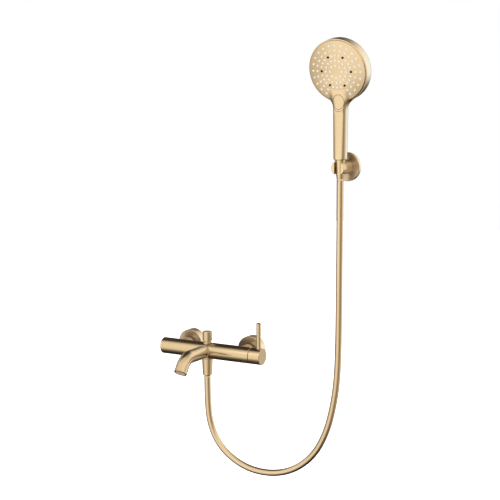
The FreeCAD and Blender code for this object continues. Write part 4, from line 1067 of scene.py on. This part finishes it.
def new_material(name, metallic):
    """A material with its node tree, its shader and the place that its patterns follow."""
    material = bpy.data.materials.new(name)
    material.use_nodes = True
    nt = material.node_tree
    shader = feed(nt, nt.nodes["Principled BSDF"], {"Metallic": metallic})
    place = add_node(nt, "ShaderNodeTexCoord", {}).outputs["Object"]
    return material, nt, shader, place


def use_group(tree, group, inputs):
    """A node that uses a node group, with its inputs fed."""
    node = tree.nodes.new("ShaderNodeGroup")
    node.node_tree = group
    return feed(tree, node, inputs)


def bumped(tree, height, strength, distance):
    """A surface direction that follows a height."""
    inputs = {"Height": height, "Strength": strength, "Distance": distance}
    return add_node(tree, "ShaderNodeBump", inputs).outputs["Normal"]


def retint(material, share, tone):
    """Mix a tone into the colour of a material."""
    nt = material.node_tree
    shader = nt.nodes["Principled BSDF"]
    under = shader.inputs["Base Color"].links[0].from_socket
    feed(nt, shader, {"Base Color": mixed(nt, share, under, tone)})


def pale_bounce(material):
    """Use a paler colour where metal is seen in other metal."""
    rays = add_node(material.node_tree, "ShaderNodeLightPath", {})
    retint(material, rays.outputs["Is Glossy Ray"], bounce_tone)


def paint_facing_light(material, axis, sign, tone):
    """Paint light or shade into the colour of the surfaces that face one way."""
    nt = material.node_tree
    facing = add_node(nt, "ShaderNodeTexCoord", {}).outputs["Normal"]
    split = add_node(nt, "ShaderNodeSeparateXYZ", {0: facing})
    painted_light_mask = mapped(nt, split.outputs[axis], (0.7 * sign, 0.97 * sign), way="SMOOTHSTEP")
    retint(material, painted_light_mask, tone)


def satin_gold(name, stretch, roughness=0.22):
    """Satin gold plating whose fine lines run along the axis with the small stretch."""
    material, nt, shader, place = new_material(name, 1.0)
    mapping = add_node(nt, "ShaderNodeMapping", {"Vector": place, "Scale": stretch})
    strokes = use_group(nt, brushing, {
        "Vector": mapping.outputs["Vector"], "Roughness": roughness, "Variation": 0.05,
    })
    clouds = use_group(nt, haze, {"Vector": place, "Color": champagne})
    feed(nt, shader, {
        "Base Color": clouds.outputs["Color"],
        "Roughness": strokes.outputs["Roughness"],
        "Normal": bumped(nt, strokes.outputs["Height"], 0.35, 0.000004),
    })
    return material


# %% [markdown]
# A stroke of the brush is long and thin, so the pattern has 60 cells to the metre along
# the strokes and 3500 across them. Each gold says which way that is on its pieces.

# %% Brush the gold pieces
along, across = 60.0, 3500.0
gold_along_x = satin_gold("gold_brushed_along_bar", (along, across, across))
gold_along_y = satin_gold("gold_brushed_outwards", (across, along, across))
gold_along_z = satin_gold("gold_brushed_upright", (across, across, along))
gold_turned_z = satin_gold("gold_turned_upright", (along, along, across))
gold_turned_y = satin_gold("gold_turned_disc", (along, across, along), roughness=0.30)
gold_hub = satin_gold("gold_brushed_hub", (along, across, across))
# Painted shade on the disc fronts, the tops of the bar and the hub and the hub's end, and a painted
# highlight on the right side of the discs' edges
paint_facing_light(gold_turned_y, "Y", -1.0, painted_shade_champagne)
paint_facing_light(gold_turned_y, "X", 1.0, painted_light_champagne)
paint_facing_light(gold_along_x, "Z", 1.0, bar_top_painted_shade)
paint_facing_light(gold_hub, "Z", 1.0, bar_top_painted_shade)
paint_facing_light(gold_hub, "X", 1.0, hub_end_painted_shade)
golds = [gold_along_x, gold_along_y, gold_along_z, gold_turned_z, gold_turned_y, gold_hub]
for material in golds:
    pale_bounce(material)
print("gold finishes", len(golds))


def coat(piece, material):
    """Give one finish to a piece, also where a cut left an empty slot on it."""
    piece.data.materials.clear()
    piece.data.materials.append(material)


def dress(material, *names):
    """Give a finish to solid nodes."""
    for name in names:
        coat(nodes[name], material)


dress(gold_along_x, "mixer_body")
dress(gold_hub, "lever_hub")
dress(gold_turned_z, "diverter_knob", "diverter_gland", "hose_nut_lower", "cone_nut")
dress(gold_along_z, "lever_pin")
dress(gold_turned_y, "flange_hot", "flange_cold", "holder_rosette")
dress(gold_along_y, "spout_tube", "holder_arm", "aerator_housing", "union_nuts")

# %% [markdown]
# The hand shower is moulded plastic with a metal coating in the same colour. The coating
# is smoother than brushed metal and a little lighter, with a clear coat over it, so its
# highlights are softer inside and sharper on top. A painted highlight makes its right side
# creamier and a painted shade makes its left side darker. The hose's skin has the same
# kind of coating.

# %% Mix the coated plastic and the hose's skin
coating_gold = (0.93, 0.70, 0.41, 1.0)
hose_gold = (0.87, 0.65, 0.39, 1.0)
# Painted shade for the casing's left side
casing_left_painted_shade = (0.40, 0.31, 0.19, 1.0)


def coated_plastic(name, colour, roughness, grain):
    """A metal-look coating with a clear top coat and a faint orange-peel surface."""
    material, nt, shader, place = new_material(name, 1.0)
    clouds = use_group(nt, haze, {"Vector": place, "Color": colour, "Amount": 0.05})
    peel = noise(nt, place, grain, 2.0)
    feed(nt, shader, {
        "Base Color": clouds.outputs["Color"],
        "Roughness": mapped(nt, peel, (0.0, 1.0), (roughness - 0.04, roughness + 0.04)),
        "Normal": bumped(nt, peel, 0.2, 0.000004),
        "Coat Weight": 0.25,
        "Coat Roughness": 0.12,
    })
    return material


gold_casing = coated_plastic("gold_coated_casing", coating_gold, 0.26, 900.0)
gold_button = coated_plastic("gold_coated_button", coating_gold, 0.24, 900.0)
gold_skin = coated_plastic("gold_hose_skin", hose_gold, 0.22, 600.0)
# A painted highlight on the casing's right side and a painted shade on its left side
paint_facing_light(gold_casing, "X", 1.0, painted_light_champagne)
paint_facing_light(gold_casing, "X", -1.0, casing_left_painted_shade)
coatings = [gold_casing, gold_button, gold_skin]
for material in coatings:
    pale_bounce(material)
print("coatings", len(coatings))

coat(casing, gold_casing)
coat(button, gold_button)
coat(hose, gold_skin)
coat(sleeve, gold_turned_z)

# %% [markdown]
# ## The materials that aren't gold
# The soft nozzles are milky silicone, which light enters a little. The rubber seals are
# black with a dusty surface. The threaded and hidden pieces are raw brass, steel,
# ceramic and plain moulded plastic. Each has its own fine grain, because a single flat
# colour never looks like a material.

# %% Mix the plain materials
def grained(name, colour, roughness, metallic, scale, height, contrast=0.12, stretch=(1, 1, 1)):
    """A finish with a fine grain in its colour, its roughness and its surface."""
    material, nt, shader, place = new_material(name, metallic)
    mapping = add_node(nt, "ShaderNodeMapping", {"Vector": place, "Scale": stretch})
    grain = noise(nt, mapping.outputs["Vector"], scale, 4.0)
    dark = (*[c * (1 - contrast) for c in colour], 1.0)
    light = (*[min(1.0, c * (1 + contrast)) for c in colour], 1.0)
    range_of_roughness = (max(0.02, roughness - 0.08), min(1.0, roughness + 0.08))
    feed(nt, shader, {
        "Base Color": mixed(nt, grain, dark, light),
        "Roughness": mapped(nt, grain, (0.0, 1.0), range_of_roughness),
        "Normal": bumped(nt, grain, 0.4, height),
    })
    return material


# Each call gives a name, a colour, a roughness, whether it is metal, the grain's scale and
# height, and where they differ from the usual, the grain's contrast and stretch
silicone = grained("milky_silicone", (0.99, 0.96, 0.90), 0.45, 0.0, 1200.0, 0.00002, 0.04)
rubber = grained("black_rubber", (0.02, 0.02, 0.02), 0.62, 0.0, 900.0, 0.00004)
dark_plastic = grained("dark_jet_plastic", (0.040, 0.018, 0.006), 0.7, 0.0, 1500.0, 0.00001)
straightener = grained("beige_straightener", (0.72, 0.58, 0.40), 0.5, 0.0, 1500.0, 0.00001)
grey_plastic = grained("grey_moulded_plastic", (0.52, 0.52, 0.50), 0.42, 0.0, 700.0, 0.00003, 0.05)
ceramic = grained("white_ceramic", (0.86, 0.86, 0.83), 0.18, 0.0, 2500.0, 0.000005, 0.02)
brass = grained("raw_brass", (0.74, 0.53, 0.22), 0.30, 1.0, 40.0, 0.00002, 0.1, (20, 60, 20))
steel = grained("plain_steel", (0.56, 0.56, 0.55), 0.34, 1.0, 60.0, 0.00002, 0.1, (20, 20, 60))
mesh_steel = grained("strainer_steel", (0.45, 0.45, 0.44), 0.4, 1.0, 2500.0, 0.00003, 0.25)
silicone_shader = silicone.node_tree.nodes["Principled BSDF"]
silicone_shader.inputs["Subsurface Weight"].default_value = 0.05
silicone_shader.inputs["Subsurface Scale"].default_value = 0.001
dark_plastic.node_tree.nodes["Principled BSDF"].inputs["Specular IOR Level"].default_value = 0.1

# %% [markdown]
# The finishes go to the pieces by name. The list that is printed at the end holds the
# visible solids that still have no finish, and it should be empty.

# %% Dress the other pieces
coat(nozzles, silicone)
coat(jets, dark_plastic)
coat(spring, steel)
for name in ("union_hot_threaded", "union_cold_threaded"):
    coat(bpy.data.objects[name], brass)
dress(rubber, "end_plug_oring", "flange_seals", "cartridge_seal", "diverter_oring")
dress(rubber, "diverter_valve", "hose_washer_lower", "hose_washer_upper", "spout_oring")
dress(rubber, "aerator_washer", "face_seal")
dress(straightener, "aerator_insert")
dress(grey_plastic, "cartridge_base", "cartridge_body", "outlet_check_valve", "water_dish")
dress(grey_plastic, "valve_housing", "selector_spool", "waterway_tube")
dress(ceramic, "ceramic_disc_fixed", "ceramic_disc_moving")
dress(brass, "cartridge_nut", "diverter_seat", "end_plug", "diverter_spindle")
dress(brass, "cartridge_stem", "handset_connector", "hose_ferrule_lower", "hose_ferrule_upper")
dress(steel, "hub_grub_screw", "spout_grub_screw", "holder_grub_screw", "holder_screws")
dress(steel, "holder_plate")
dress(mesh_steel, "filter_washers")
bare = [
    n for n, o in nodes.items()
    if not o.hide_render and not (o.data.materials and o.data.materials[0].use_nodes)
]
print("nodes without a finish", bare)
